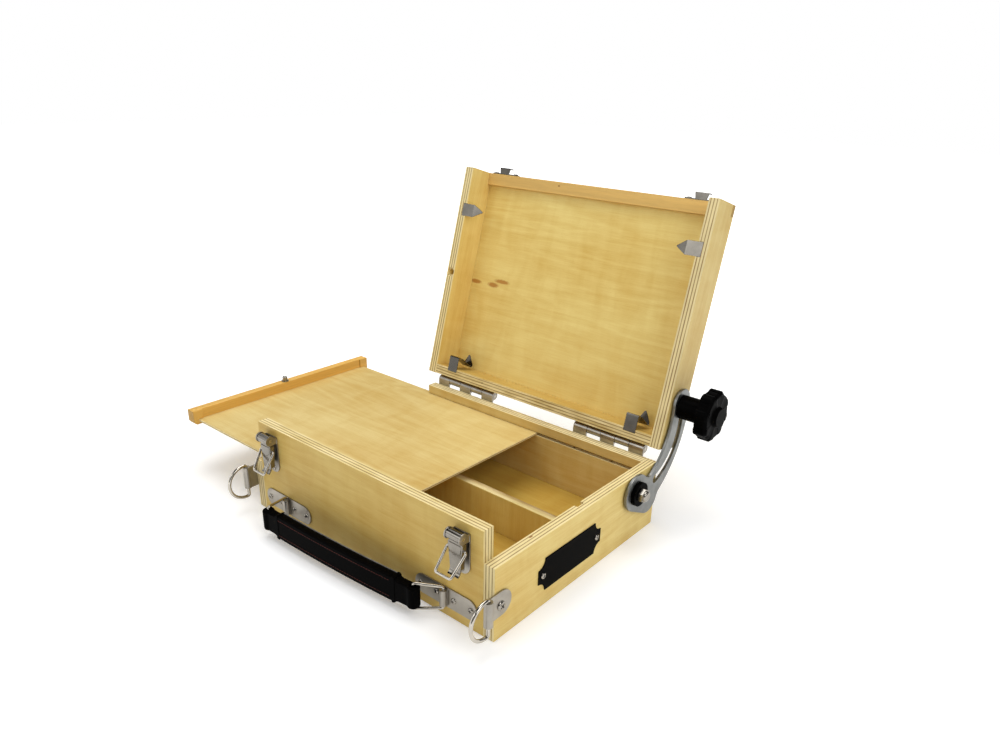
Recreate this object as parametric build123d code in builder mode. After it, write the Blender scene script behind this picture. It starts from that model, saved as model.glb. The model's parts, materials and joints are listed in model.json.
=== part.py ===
from build123d import *
import math
import os

# A pochade box: a small plywood painting box with a hinged lid that holds a
# panel, a mixing palette that slides out to the left, and tray compartments.
# Millimetres, +Z up, the front of the box towards -Y, the origin at the centre
# of the tray's underside.  The lid, the palette and the loose hardware are drawn
# with the box shut, the arm is drawn as it stands with the box open, and each
# moving group is then placed as it stands in the open, working pose.

# ---------------------------------------------------------------- dimensions
box_width = 335.0
box_depth = 255.0
wall = 12.0
tray_height = 73.0
front_height = tray_height + 30.0
closed_height = tray_height + 39.0
running_gap = 0.3
fit = 0.1

half_width = box_width / 2
half_depth = box_depth / 2
inner_x = half_width - wall
inner_y = half_depth - wall
rabbet = 6.0
floor_thickness = 4.0
back_thickness = 3.0

# The sliding palette and the grooves it runs in.
palette_thickness = 3.0
palette_level = tray_height - 14.0
groove_depth = 6.0
groove_head_room = 0.4
lip_foot = palette_level - 3.0
lip_corner = 5.0
lip_relief = 1.5
palette_end = inner_x - 4.5

# The stud on the palette's lip that locks into the closed lid.
lock_stud_radius = 3.0
lock_stud_height = 6.0
lock_stud_shank = 1.5
lock_stud_depth = 8.0
lock_flange = 1.2
lock_flange_radius = 4.5
lock_hole_slack = 0.9

# The long divider of the tray and its housings in the side walls.
divider_y = 2.0
divider_thickness = 9.4
divider_height = palette_level - 12.0
housing_depth = 4.0
housing_width = divider_thickness + 0.6

# The lid.
front_rail_foot = front_height + 0.5
front_rail_depth = 14.0
front_lap_level = front_height + 3.0
rear_rail_back = half_depth - running_gap
back_panel_front = -half_depth + 8.0
back_panel_rear = inner_y + rabbet
back_panel_level = closed_height - back_thickness

# The open, working pose.
hinge_y = half_depth + 5.0
hinge_z = tray_height + 6.5
lid_open_angle = 105.8
palette_travel = 133.0
left_link_angle = 15.0
right_link_angle = 53.1
left_bail_angle = 31.0
right_bail_angle = 44.0

# Hinges.
hinge_x = half_width - 63.0
hinge_length = 90.0
knuckles = 5
knuckle_radius = 4.6
pin_radius = 1.92
pin_bore = 2.0
leaf = 1.8
leaf_window = 1.5
base_leaf_foot = tray_height - 21.5
lid_leaf_foot = tray_height + 13.5
lid_leaf_head = closed_height - 4.5

# The lid arm: it swings on a bolt in the tray and slides on the lid's stud.
arm_thickness = 3.0
arm_stand_off = 2.0
arm_pivot_y = half_depth - 45.0
arm_pivot_z = tray_height - 16.7
stud_y = half_depth - 47.3
stud_z = closed_height - 21.3
stud_radius = 3.2
slot_width = 9.0
arm_turn_ratio = 0.85
arm_half_width = 15.5
arm_eye_radius = 19.5
arm_heel_radius = 17.0
arm_corner = 8.0

# The bolt that carries the arm.
arm_bolt_radius = 3.0
bolt_head_radius = 7.0
bolt_head_height = 2.8
inner_washer_radius = 8.0
outer_washer_radius = 12.5
outer_washer_thickness = 4.4
nut_flats = 13.0
nut_height = 5.0
nut_dome_radius = 5.6
nut_dome_height = 3.0

# The clamp knob.
insert_radius = 4.5
insert_depth = 10.0
insert_flange_radius = 7.0
neck_radius = 12.5
neck_length = 26.0
knob_radius = 26.5
knob_length = 13.5
knob_lobes = 8
lobe_radius = 8.0
knob_valley = 1.8
knob_cap_radius = 11.0
knob_cap_height = 3.5

# Toggle latches.
latch_x = half_width - 35.5
latch_plate_width = 19.0
latch_plate_foot = front_height - 49.0
latch_plate_head = front_height - 8.0
latch_plate_thickness = 1.2
latch_pivot_y = -half_depth - 8.0
latch_pivot_z = front_height - 10.0
latch_roll_radius = 4.5
latch_roll_width = 14.6
latch_pin_radius = 1.5
ear_gap = latch_roll_width / 2 + running_gap
ear_thickness = 1.3
ear_radius = 5.2
lever_depth = 4.7
lever_sheet = 1.0
bail_pivot_y = -half_depth - 6.3
bail_pivot_z = latch_pivot_z - 12.5
bail_wire = 1.25
bail_half_width = 10.5
bail_end_half_width = 8.8
bail_hook = 6.0
bail_length = 24.5
keeper_level = closed_height - 4.3
keeper_thickness = 1.2
keeper_reach = 8.0

# The carrying handle.
bracket_x = half_width - 54.7
bracket_length = 74.0
bracket_height = 20.0
bracket_thickness = 1.5
handle_level = 20.5
barrel_y = -half_depth - 3.5
barrel_radius = 3.5
barrel_height = 16.0
link_wire = 1.4
link_height = 22.0
link_tip_height = 26.5
link_length = 26.0
link_corner = 2.0
grip_bow = 2.5
grip_height = 26.0
grip_thickness = 9.0
eye_height = 21.4
eye_radius = 6.0
eye_length = 14.0
eye_slack = 2.5

# The strap rings.
ring_wire = 1.8
ring_bar_x = half_width + 3.0
ring_bar_y = -half_depth - 10.5
ring_level = 32.8
ring_radius = 18.0
ring_leg = 3.0
strap_thickness = 1.8
strap_height = 24.2
strap_level = 36.7
strap_end = -half_depth + 20.0
strap_front = -half_depth - 8.0
strap_barrel_radius = 3.9
strap_screw_y = -half_depth + 6.5
strap_screw_z = 35.0

# The bare plate on the right wall.
plate_y = -21.85
plate_z = 33.2
plate_length = 95.7
plate_height = 33.4
plate_notch = 9.5
plate_thickness = 1.0
plate_screw_pitch = 82.8

# Panel clips: spring strips bedded in the lid's edges.
clip_width = 14.6
clip_strip = 0.9
clip_bed = 1.2
clip_foot = 5.6
clip_shoulder = 12.0
clip_reach = 24.0
clip_level = tray_height + 0.2 + clip_strip / 2
side_clip_y = -half_depth + 50.5
rail_clip_x = half_width - 38.5
rail_clip_level = closed_height - 11.0

# Screws: the radii of the shank, of its pilot hole and of a flat head, and
# where the hinge and bracket screws stand along their plates.
screw_shank = 1.35
pilot_radius = 1.45
flat_head_radius = 2.75
hinge_screw_places = (-36.0, -13.0, 13.0, 36.0)
hinge_screw_row = 8.0
bracket_screw_places = (-30.3, -10.3, 10.3, 30.3)
keeper_screw_place = 15.0
latch_screw_length = 6.5


# ------------------------------------------------------------------- helpers
def dome(rim, crown):
    """Half the section of a dome: an arc whose centre lies on the dome's axis."""
    reach = abs(rim[0] - crown[0])
    rise = abs(crown[1] - rim[1])
    radius = (reach**2 + rise**2) / (2 * rise)
    lean = math.asin(reach / radius) / 2
    side = math.copysign(1, rim[0] - crown[0])
    up = math.copysign(1, crown[1] - rim[1])
    middle = (
        crown[0] + side * radius * math.sin(lean),
        crown[1] - up * radius * (1 - math.cos(lean)),
    )
    return ThreePointArc(rim, middle, crown)


def countersunk_screw(head_radius, length):
    """A flat-headed screw pointing down -Z, its head flush with Z = 0."""
    with BuildPart() as screw:
        with BuildSketch(Plane.XZ):
            with BuildLine():
                Polyline(
                    (0, 0),
                    (head_radius, 0),
                    (screw_shank, screw_shank - head_radius),
                    (screw_shank, screw_shank - length),
                    (0, -length),
                    close=True,
                )
            make_face()
        revolve(axis=Axis.Z)
    return screw.part


def round_screw(head_radius, head_height, length):
    """A round-headed screw pointing down -Z, its head standing on Z = 0."""
    with BuildPart() as screw:
        with BuildSketch(Plane.XZ):
            with BuildLine():
                Polyline(
                    (0, head_height),
                    (0, -length),
                    (screw_shank, screw_shank - length),
                    (screw_shank, 0),
                    (head_radius, 0),
                )
                dome((head_radius, 0), (0, head_height))
            make_face()
        revolve(axis=Axis.Z)
    return screw.part


def wire_loop(points, bend, radius):
    """A closed loop of round wire in the YZ plane, bent at rounded corners."""
    with BuildPart() as loop:
        with BuildLine(Plane.YZ) as path:
            FilletPolyline(*points, radius=bend, close=True)
        with BuildSketch(Plane(origin=path.line @ 0, z_dir=path.line % 0)):
            Circle(radius)
        sweep()
    return loop.part


# ----------------------------------------------------------- screw positions
# The screws of a hinge leaf stand in two rows, turn about.
hinge_base_rows = [base_leaf_foot + 6 + hinge_screw_row * (i % 2) for i in range(4)]
hinge_lid_rows = [lid_leaf_head - 6 - hinge_screw_row * ((i + 1) % 2) for i in range(4)]
hinge_base_seats = [
    Plane(origin=(hinge_x + dx, half_depth + leaf, z), z_dir=(0, 1, 0))
    for dx, z in zip(hinge_screw_places, hinge_base_rows)
]
hinge_lid_seats = [
    Plane(origin=(hinge_x + dx, rear_rail_back + leaf, z), z_dir=(0, 1, 0))
    for dx, z in zip(hinge_screw_places, hinge_lid_rows)
]
latch_seats = [
    Plane(origin=(latch_x, -half_depth - latch_plate_thickness, z), z_dir=(0, -1, 0))
    for z in (latch_plate_foot + 4.8, latch_plate_head - 9)
]
keeper_seats = [
    Plane(origin=(latch_x + dx, -half_depth - keeper_thickness, keeper_level), z_dir=(0, -1, 0))
    for dx in (-keeper_screw_place, keeper_screw_place)
]
bracket_seats = [
    Plane(
        origin=(bracket_x + dx, -half_depth - bracket_thickness, handle_level),
        z_dir=(0, -1, 0),
    )
    for dx in bracket_screw_places
]
strap_seat = Plane(
    origin=(half_width + strap_thickness, strap_screw_y, strap_screw_z), z_dir=(1, 0, 0)
)
plate_seats = [
    Plane(
        origin=(half_width + plate_thickness, plate_y + dy, plate_z), z_dir=(1, 0, 0)
    )
    for dy in (-plate_screw_pitch / 2, plate_screw_pitch / 2)
]
arm_bolt_seat = Plane(origin=(half_width, arm_pivot_y, arm_pivot_z), z_dir=(1, 0, 0))
stud_seat = Plane(origin=(half_width, stud_y, stud_z), z_dir=(1, 0, 0))


# ---------------------------------------------------------------------- tray
with BuildPart() as floor_panel:
    with BuildSketch():
        Rectangle(2 * (inner_x + rabbet), 2 * (inner_y + rabbet))
    extrude(amount=floor_thickness)


def side_wall(height):
    """The right wall: rabbeted for the floor and housed for the divider."""
    with BuildPart() as side:
        with BuildSketch():
            with Locations((half_width - wall / 2, 0)):
                Rectangle(wall, box_depth)
        extrude(amount=height)
        with BuildSketch():
            with Locations((inner_x + rabbet / 2, 0)):
                Rectangle(rabbet, 2 * (inner_y + rabbet))
        extrude(amount=floor_thickness, mode=Mode.SUBTRACT)
        with BuildSketch(Plane.XY.offset(floor_thickness)):
            with Locations((inner_x + housing_depth / 2, divider_y)):
                Rectangle(housing_depth, housing_width)
        extrude(amount=height - floor_thickness, mode=Mode.SUBTRACT)
        with Locations(strap_seat):
            Hole(pilot_radius, 10)
    return side.part


with BuildPart() as right_wall:
    add(side_wall(tray_height))
    with Locations(arm_bolt_seat):
        Hole(arm_bolt_radius + fit, wall)
    with Locations(*plate_seats):
        Hole(pilot_radius, 9)

# The left wall stops below the palette, whose lip closes the side above it.
with BuildPart() as left_wall:
    add(side_wall(lip_foot - running_gap))
    mirror(about=Plane.YZ, mode=Mode.REPLACE)


def cross_wall(height):
    """A front panel of this height, with a rabbet for the floor and the palette groove."""
    groove_foot = palette_level - running_gap
    groove_head = palette_level + palette_thickness + groove_head_room
    with BuildPart() as panel:
        with BuildSketch(Plane.YZ):
            with BuildLine():
                Polyline(
                    (-half_depth, 0),
                    (-inner_y - rabbet, 0),
                    (-inner_y - rabbet, floor_thickness),
                    (-inner_y, floor_thickness),
                    (-inner_y, groove_foot),
                    (-inner_y - groove_depth, groove_foot),
                    (-inner_y - groove_depth, groove_head),
                    (-inner_y, groove_head),
                    (-inner_y, height),
                    (-half_depth, height),
                    close=True,
                )
            make_face()
        extrude(amount=inner_x, both=True)
    return panel.part


with BuildPart() as front_panel:
    add(cross_wall(front_height))
    # Above the side walls the ends are eased to pass between the lid's sides.
    with BuildSketch(Plane.XY.offset(tray_height)):
        with Locations((-inner_x, -half_depth + wall / 2), (inner_x, -half_depth + wall / 2)):
            Rectangle(0.8, wall)
    extrude(amount=front_height - tray_height, mode=Mode.SUBTRACT)
    with Locations(*bracket_seats):
        Hole(pilot_radius, 10)
    # The latches' screws stop short of the palette groove.
    with Locations(*latch_seats):
        Hole(pilot_radius, latch_screw_length + 0.5)
    mirror(about=Plane.YZ, mode=Mode.INTERSECT)

with BuildPart() as rear_wall:
    add(cross_wall(tray_height))
    mirror(about=Plane.XZ, mode=Mode.REPLACE)
    with Locations(*hinge_base_seats):
        Hole(pilot_radius, 11)
    mirror(about=Plane.YZ, mode=Mode.INTERSECT)

with BuildPart() as tray_divider:
    with BuildSketch(Plane.XY.offset(floor_thickness)):
        with Locations((0, divider_y)):
            Rectangle(2 * (inner_x + housing_depth - running_gap / 2), divider_thickness)
    extrude(amount=divider_height - floor_thickness)
    chamfer(tray_divider.edges().group_by(Axis.Z)[-1].filter_by(Axis.X), 0.6)


# ----------------------------------------------------------------------- lid
def lid_side():
    """The lid's right side, lapped at the front for the rail that crosses it."""
    with BuildPart() as side:
        with BuildSketch(Plane.YZ.offset(inner_x)):
            with BuildLine():
                Polyline(
                    (-half_depth, tray_height),
                    (half_depth, tray_height),
                    (half_depth, closed_height),
                    (-inner_y, closed_height),
                    (-inner_y, front_lap_level),
                    (-half_depth, front_lap_level),
                    close=True,
                )
            make_face()
        extrude(amount=wall)
        with BuildSketch(Plane.XY.offset(back_panel_level)):
            with Locations((inner_x + rabbet / 2, 0)):
                Rectangle(rabbet, 2 * back_panel_rear)
        extrude(amount=back_thickness, mode=Mode.SUBTRACT)
        # A shallow bed for the foot of the panel clip.
        with BuildSketch(Plane.XY.offset(tray_height)):
            with Locations((inner_x + clip_foot / 2, side_clip_y)):
                Rectangle(clip_foot, clip_width + 0.4)
        extrude(amount=clip_bed, mode=Mode.SUBTRACT)
    return side.part


with BuildPart() as lid_right_side:
    add(lid_side())
    with Locations(stud_seat):
        CounterBoreHole(stud_radius + fit, insert_radius + fit, insert_depth, wall)

with BuildPart() as lid_left_side:
    add(lid_side())
    mirror(about=Plane.YZ, mode=Mode.REPLACE)
    # The hole that takes the palette's lock stud.
    with BuildSketch(Plane.XY.offset(tray_height)):
        with Locations((-half_width + wall / 2, 0)):
            Circle(lock_stud_radius + lock_hole_slack)
    extrude(amount=lock_flange + lock_stud_height + 1.5, mode=Mode.SUBTRACT)
    with BuildSketch(Plane.XY.offset(tray_height)):
        with Locations((-half_width + wall / 2, 0)):
            Circle(lock_flange_radius + lock_hole_slack)
    extrude(amount=lock_flange + running_gap, mode=Mode.SUBTRACT)

with BuildPart() as lid_rear_rail:
    with BuildSketch(Plane.YZ):
        with BuildLine():
            Polyline(
                (inner_y, tray_height),
                (rear_rail_back, tray_height),
                (rear_rail_back, closed_height),
                (back_panel_rear, closed_height),
                (back_panel_rear, back_panel_level),
                (inner_y, back_panel_level),
                close=True,
            )
        make_face()
    extrude(amount=inner_x, both=True)
    with BuildSketch(Plane.XY.offset(tray_height)):
        with Locations((-rail_clip_x, inner_y + 2.0), (rail_clip_x, inner_y + 2.0)):
            Rectangle(clip_width + 0.4, 4.0)
    extrude(amount=clip_bed, mode=Mode.SUBTRACT)
    with Locations(*hinge_lid_seats):
        Hole(pilot_radius, 10)
    mirror(about=Plane.YZ, mode=Mode.INTERSECT)

with BuildPart() as lid_front_rail:
    with BuildSketch(Plane.XY.offset(front_rail_foot)):
        with Locations((0, -half_depth + front_rail_depth / 2)):
            Rectangle(2 * inner_x, front_rail_depth)
    extrude(amount=closed_height - front_rail_foot)
    with BuildSketch(Plane.XY.offset(front_lap_level)):
        with Locations((0, -half_depth + wall / 2)):
            Rectangle(box_width, wall)
    extrude(amount=closed_height - front_lap_level)
    with BuildSketch(Plane.XY.offset(back_panel_level)):
        with Locations((0, (back_panel_front + inner_y) / 2)):
            Rectangle(2 * (inner_x + rabbet), inner_y - back_panel_front)
    extrude(amount=back_thickness, mode=Mode.SUBTRACT)
    with Locations(*keeper_seats):
        Hole(pilot_radius, 9)
    mirror(about=Plane.YZ, mode=Mode.INTERSECT)

with BuildPart() as lid_back_panel:
    with BuildSketch(Plane.XY.offset(back_panel_level)):
        with Locations((0, (back_panel_front + back_panel_rear) / 2)):
            Rectangle(2 * (inner_x + rabbet), back_panel_rear - back_panel_front)
    extrude(amount=back_thickness)

with BuildPart() as panel_clips_side:
    # The strip crosses the lid's edge and its point rises towards the panel.
    with BuildSketch(Plane.XZ.offset(-side_clip_y)):
        with BuildLine():
            Polyline(
                (inner_x + clip_foot, clip_level),
                (inner_x - clip_shoulder, clip_level),
                (inner_x - clip_reach, clip_level + 3.5),
            )
        trace(line_width=clip_strip)
    extrude(amount=clip_width / 2, both=True)
    with BuildSketch(Plane.XY.offset(tray_height)):
        with BuildLine():
            Polyline(
                (inner_x + clip_foot + 1, side_clip_y - clip_width / 2),
                (inner_x + clip_foot + 1, side_clip_y + clip_width / 2),
                (inner_x - clip_shoulder, side_clip_y + clip_width / 2),
                (inner_x - clip_reach - 1, side_clip_y),
                (inner_x - clip_shoulder, side_clip_y - clip_width / 2),
                close=True,
            )
        make_face()
    extrude(amount=10, mode=Mode.INTERSECT)
    mirror(about=Plane.YZ)

with BuildPart() as panel_clips_rail:
    # The strip folds back into the lid and ends in a pointed tongue.
    with BuildSketch(Plane.YZ.offset(rail_clip_x)):
        with BuildLine():
            FilletPolyline(
                (inner_y + 3.8, clip_level),
                (inner_y - 15.5, clip_level),
                (inner_y - 13, clip_level + 8),
                (inner_y - 3, rail_clip_level),
                (inner_y - 18, rail_clip_level),
                radius=1.5,
            )
        trace(line_width=clip_strip)
    extrude(amount=clip_width / 2, both=True)
    with BuildSketch(Plane.XY.offset(rail_clip_level - 1)):
        for side in (-1, 1):
            with BuildLine():
                Polyline(
                    (rail_clip_x + side * (clip_width / 2 + 1), inner_y - 20),
                    (rail_clip_x + side * (clip_width / 2 + 1), inner_y - 5),
                    (rail_clip_x + side * clip_width / 2, inner_y - 7),
                    (rail_clip_x + side * 0.5, inner_y - 18.5),
                    (rail_clip_x + side * 0.5, inner_y - 20),
                    close=True,
                )
            make_face()
    extrude(amount=3, mode=Mode.SUBTRACT)
    mirror(about=Plane.YZ)

# ------------------------------------------------------------------- palette
with BuildPart() as palette_board:
    with BuildSketch(Plane.XY.offset(palette_level)):
        with Locations(((palette_end - inner_x - rabbet) / 2, 0)):
            Rectangle(
                palette_end + inner_x + rabbet,
                2 * (inner_y + groove_depth - running_gap),
            )
    extrude(amount=palette_thickness)

with BuildPart() as palette_lip:
    with BuildSketch(Plane.YZ.offset(-half_width)):
        with Locations((0, (lip_foot + tray_height) / 2)):
            Rectangle(box_depth, tray_height - lip_foot)
    extrude(amount=wall)
    fillet(palette_lip.edges().filter_by(Axis.X).group_by(Axis.Z)[0], lip_corner)
    # The inner face is relieved between the front and rear panels.
    with BuildSketch(Plane.YZ.offset(-inner_x - lip_relief)):
        with Locations((0, (lip_foot + tray_height) / 2)):
            Rectangle(2 * inner_y, tray_height - lip_foot)
    extrude(amount=lip_relief, mode=Mode.SUBTRACT)
    with BuildSketch(Plane.XY.offset(palette_level)):
        with Locations((-inner_x, 0)):
            Rectangle(2 * rabbet, 2 * (inner_y + groove_depth - running_gap))
    extrude(amount=palette_thickness, mode=Mode.SUBTRACT)
    with Locations((-half_width + wall / 2, 0, tray_height)):
        Hole(lock_stud_shank + fit, lock_stud_depth + 1)

with BuildPart() as lock_stud:
    flange_top = tray_height + lock_flange
    stud_shoulder = flange_top + lock_stud_height - 2
    with BuildSketch(Plane.XZ):
        with BuildLine():
            Polyline(
                (0, flange_top + lock_stud_height),
                (0, tray_height - lock_stud_depth),
                (lock_stud_shank, tray_height - lock_stud_depth),
                (lock_stud_shank, tray_height),
                (lock_flange_radius, tray_height),
                (lock_flange_radius, flange_top),
                (lock_stud_radius, flange_top),
                (lock_stud_radius, stud_shoulder),
            )
            dome((lock_stud_radius, stud_shoulder), (0, flange_top + lock_stud_height))
        make_face()
    revolve(axis=Axis.Z)
    add(Pos(-half_width + wall / 2, 0, 0) * lock_stud.part, mode=Mode.REPLACE)

# -------------------------------------------------------------------- hinges
knuckle_pitch = hinge_length / knuckles
knuckle_length = knuckle_pitch - running_gap
base_knuckles = [hinge_x + knuckle_pitch * (i - 2) for i in (0, 2, 4)]
lid_knuckles = [hinge_x + knuckle_pitch * (i - 2) for i in (1, 3)]


def hinge_leaf(back, near, far, knuckle_places, seats):
    """A pair of leaves: a plate from near the pin to far, and its rolled knuckles."""
    side = math.copysign(1, far - near)
    with BuildPart() as leaves:
        with BuildSketch(Plane.XZ.offset(-back)):
            with Locations((hinge_x, (near + far) / 2)):
                Rectangle(hinge_length - running_gap, abs(far - near))
        extrude(amount=-leaf)
        with BuildSketch(*[Plane.YZ.offset(x - knuckle_length / 2) for x in knuckle_places]):
            with BuildLine():
                Polyline(
                    (back, near),
                    (back + leaf, near),
                    (back + leaf + 0.4, hinge_z + side * (knuckle_radius + 0.4)),
                    (hinge_y - 0.6, hinge_z + side * (knuckle_radius - 0.1)),
                    (hinge_y - 3.0, hinge_z),
                    (back + 0.5, hinge_z + side * 0.6),
                    (back, hinge_z + side * 2.0),
                    close=True,
                )
            make_face()
            with Locations((hinge_y, hinge_z)):
                Circle(knuckle_radius)
        extrude(amount=knuckle_length)
        with BuildSketch(Plane.YZ.offset(hinge_x - hinge_length / 2)):
            with Locations((hinge_y, hinge_z)):
                Circle(pin_bore)
        extrude(amount=hinge_length, mode=Mode.SUBTRACT)
        with Locations(*seats):
            CounterSinkHole(screw_shank + fit, flat_head_radius + fit, leaf, 90)
        mirror(about=Plane.YZ)
    return leaves.part


base_leaf_head = tray_height - leaf_window
with BuildPart() as hinge_base_leaves:
    add(hinge_leaf(half_depth, base_leaf_head, base_leaf_foot, base_knuckles, hinge_base_seats))

with BuildPart() as hinge_lid_leaves:
    add(hinge_leaf(rear_rail_back, lid_leaf_foot, lid_leaf_head, lid_knuckles, hinge_lid_seats))

with BuildPart() as hinge_pins:
    with BuildSketch(Plane.YZ.offset(hinge_x - hinge_length / 2)):
        with Locations((hinge_y, hinge_z)):
            Circle(pin_radius)
    extrude(amount=hinge_length)
    mirror(about=Plane.YZ)

with BuildPart() as hinge_base_screws:
    with Locations(*hinge_base_seats):
        add(countersunk_screw(flat_head_radius, 11))
    mirror(about=Plane.YZ)

with BuildPart() as hinge_lid_screws:
    with Locations(*hinge_lid_seats):
        add(countersunk_screw(flat_head_radius, 10))
    mirror(about=Plane.YZ)


# ------------------------------------------------------------------- lid arm
def turned(point, centre, angle):
    """A point of the YZ plane turned about a centre, in degrees."""
    c = math.cos(math.radians(angle))
    s = math.sin(math.radians(angle))
    dy = point[0] - centre[0]
    dz = point[1] - centre[1]
    return (centre[0] + dy * c - dz * s, centre[1] + dy * s + dz * c)


def slot_point(closing):
    """Where the lid's stud stands in the arm when the lid has closed so far."""
    hinge = (hinge_y, hinge_z)
    stud = turned((stud_y, stud_z), hinge, closing - lid_open_angle)
    return turned(stud, (arm_pivot_y, arm_pivot_z), -arm_turn_ratio * closing)


slot_path = [slot_point(lid_open_angle * share) for share in (0, 0.5, 1)]
band_path = [
    (arm_pivot_y + 31.5, arm_pivot_z - 4.3),
    (arm_pivot_y + 68.0, arm_pivot_z + 35.7),
    (arm_pivot_y + 76.5, arm_pivot_z + 73.2),
]
arm_face = half_width + arm_stand_off

with BuildPart() as support_arm:
    with BuildSketch(Plane.YZ.offset(arm_face)):
        # The eye round the bolt and the heel below it.
        with Locations((arm_pivot_y, arm_pivot_z)):
            Circle(arm_eye_radius)
        with Locations((arm_pivot_y + 24.5, arm_pivot_z - 15.3)):
            Circle(arm_heel_radius)
        make_hull()
        with BuildLine():
            band_curve = ThreePointArc(*band_path)
        SlotArc(band_curve, 2 * arm_half_width)
        with BuildLine():
            slot_curve = ThreePointArc(*slot_path)
        # Growing and shrinking the outline rounds the two inner corners.
        offset(amount=arm_corner, kind=Kind.ARC, mode=Mode.REPLACE)
        offset(amount=-arm_corner, kind=Kind.ARC, mode=Mode.REPLACE)
        SlotArc(slot_curve, slot_width, mode=Mode.SUBTRACT)
        with Locations((arm_pivot_y, arm_pivot_z)):
            Circle(arm_bolt_radius + fit, mode=Mode.SUBTRACT)
    extrude(amount=arm_thickness)

# On the bolt, outwards from the wall: a washer, the arm, a thick washer, the nut.
outer_washer_face = arm_bolt_seat.offset(arm_stand_off + arm_thickness + fit)
nut_seat = outer_washer_face.offset(outer_washer_thickness + fit)
nut_bore = nut_height + 1

with BuildPart() as arm_bolt:
    with BuildSketch(Plane.XZ):
        with BuildLine():
            Polyline(
                (bolt_head_radius, 0),
                (arm_bolt_radius, 0),
                (arm_bolt_radius, nut_seat.origin.X - inner_x + nut_bore - 1),
                (0, nut_seat.origin.X - inner_x + nut_bore - 1),
                (0, -bolt_head_height),
            )
            dome((bolt_head_radius, 0), (0, -bolt_head_height))
        make_face()
    revolve(axis=Axis.Z)
    add(arm_bolt_seat.offset(-wall).location * arm_bolt.part, mode=Mode.REPLACE)

with BuildPart() as arm_bolt_nut:
    with BuildSketch(nut_seat):
        RegularPolygon(nut_flats / 2, 6, major_radius=False)
    extrude(amount=nut_height)
    with BuildSketch(nut_seat.offset(nut_height)):
        Circle(nut_dome_radius)
    extrude(amount=nut_dome_height)
    fillet(arm_bolt_nut.faces().sort_by(Axis.X)[-1].edges(), nut_dome_height - 0.3)
    with BuildSketch(nut_seat):
        Circle(arm_bolt_radius + fit / 2)
    extrude(amount=nut_bore, mode=Mode.SUBTRACT)

with BuildPart() as arm_washers:
    with BuildSketch(arm_bolt_seat):
        Circle(inner_washer_radius)
        Circle(arm_bolt_radius + fit, mode=Mode.SUBTRACT)
    extrude(amount=arm_stand_off - fit)
    with BuildSketch(outer_washer_face):
        Circle(outer_washer_radius)
        Circle(arm_bolt_radius + fit, mode=Mode.SUBTRACT)
    extrude(amount=outer_washer_thickness)

# ---------------------------------------------------------------- clamp knob
stud_depth = insert_depth - 1

with BuildPart() as stud_insert:
    with BuildSketch(stud_seat.offset(-insert_depth)):
        Circle(insert_radius)
    extrude(amount=insert_depth)
    with BuildSketch(stud_seat):
        Circle(insert_flange_radius)
    extrude(amount=arm_stand_off - running_gap)
    with BuildSketch(stud_seat.offset(-insert_depth)):
        Circle(stud_radius + fit)
    extrude(amount=insert_depth + arm_stand_off, mode=Mode.SUBTRACT)

knob_face = stud_seat.offset(arm_stand_off + arm_thickness + running_gap)

with BuildPart() as clamp_stud:
    with BuildSketch(stud_seat.offset(-stud_depth)):
        Circle(stud_radius)
    extrude(amount=stud_depth + arm_stand_off + arm_thickness + running_gap + neck_length)

with BuildPart() as clamp_knob:
    with BuildSketch(knob_face):
        Circle(neck_radius)
    extrude(amount=neck_length)
    with BuildSketch(knob_face.offset(neck_length)):
        Circle(knob_radius - knob_valley)
        with PolarLocations(knob_radius - lobe_radius, knob_lobes):
            Circle(lobe_radius)
    extrude(amount=knob_length)
    chamfer(clamp_knob.faces().sort_by(Axis.X)[-1].edges(), 2.5)
    with BuildSketch(knob_face.offset(neck_length + knob_length)):
        Circle(knob_cap_radius)
    extrude(amount=knob_cap_height, taper=25)
    with BuildSketch(knob_face):
        Circle(stud_radius + fit)
    extrude(amount=neck_length + fit, mode=Mode.SUBTRACT)

# ------------------------------------------------------------------- latches
latch_front = Plane.XZ.offset(half_depth)
ear_sides = (latch_x - ear_gap - ear_thickness, latch_x + ear_gap)

with BuildPart() as latch_plates:
    with BuildSketch(latch_front):
        with Locations((latch_x, (latch_plate_foot + latch_plate_head) / 2)):
            Rectangle(latch_plate_width, latch_plate_head - latch_plate_foot)
    extrude(amount=latch_plate_thickness)
    plate_corners = latch_plates.edges().filter_by(Axis.Y).group_by(Axis.Z)
    fillet(plate_corners[0], latch_plate_width / 2 - 0.5)
    fillet(plate_corners[-1], 3)
    # Two ears carry the lever's pin.
    with BuildSketch(*[Plane.YZ.offset(x) for x in ear_sides]):
        with Locations((latch_pivot_y, latch_pivot_z)):
            Circle(ear_radius)
        with Locations(((latch_pivot_y - half_depth) / 2, latch_pivot_z - 1.5)):
            Rectangle(-half_depth - latch_pivot_y, 7)
        with Locations((latch_pivot_y, latch_pivot_z)):
            Circle(latch_pin_radius, mode=Mode.SUBTRACT)
    extrude(amount=ear_thickness)
    with Locations(*latch_seats):
        Hole(pilot_radius, 5)
    mirror(about=Plane.YZ)

with BuildPart() as latch_pins:
    with BuildSketch(Plane.YZ.offset(ear_sides[0])):
        with Locations((latch_pivot_y, latch_pivot_z)):
            Circle(latch_pin_radius)
    extrude(amount=2 * (ear_gap + ear_thickness))
    mirror(about=Plane.YZ)

with BuildPart() as latch_screws:
    with Locations(*latch_seats):
        add(round_screw(3.2, 1.6, latch_screw_length))
    mirror(about=Plane.YZ)

lever_back = -latch_pivot_y - 4.0
lever_front = lever_back + lever_depth
lever_foot = latch_pivot_z - 31.0


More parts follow.
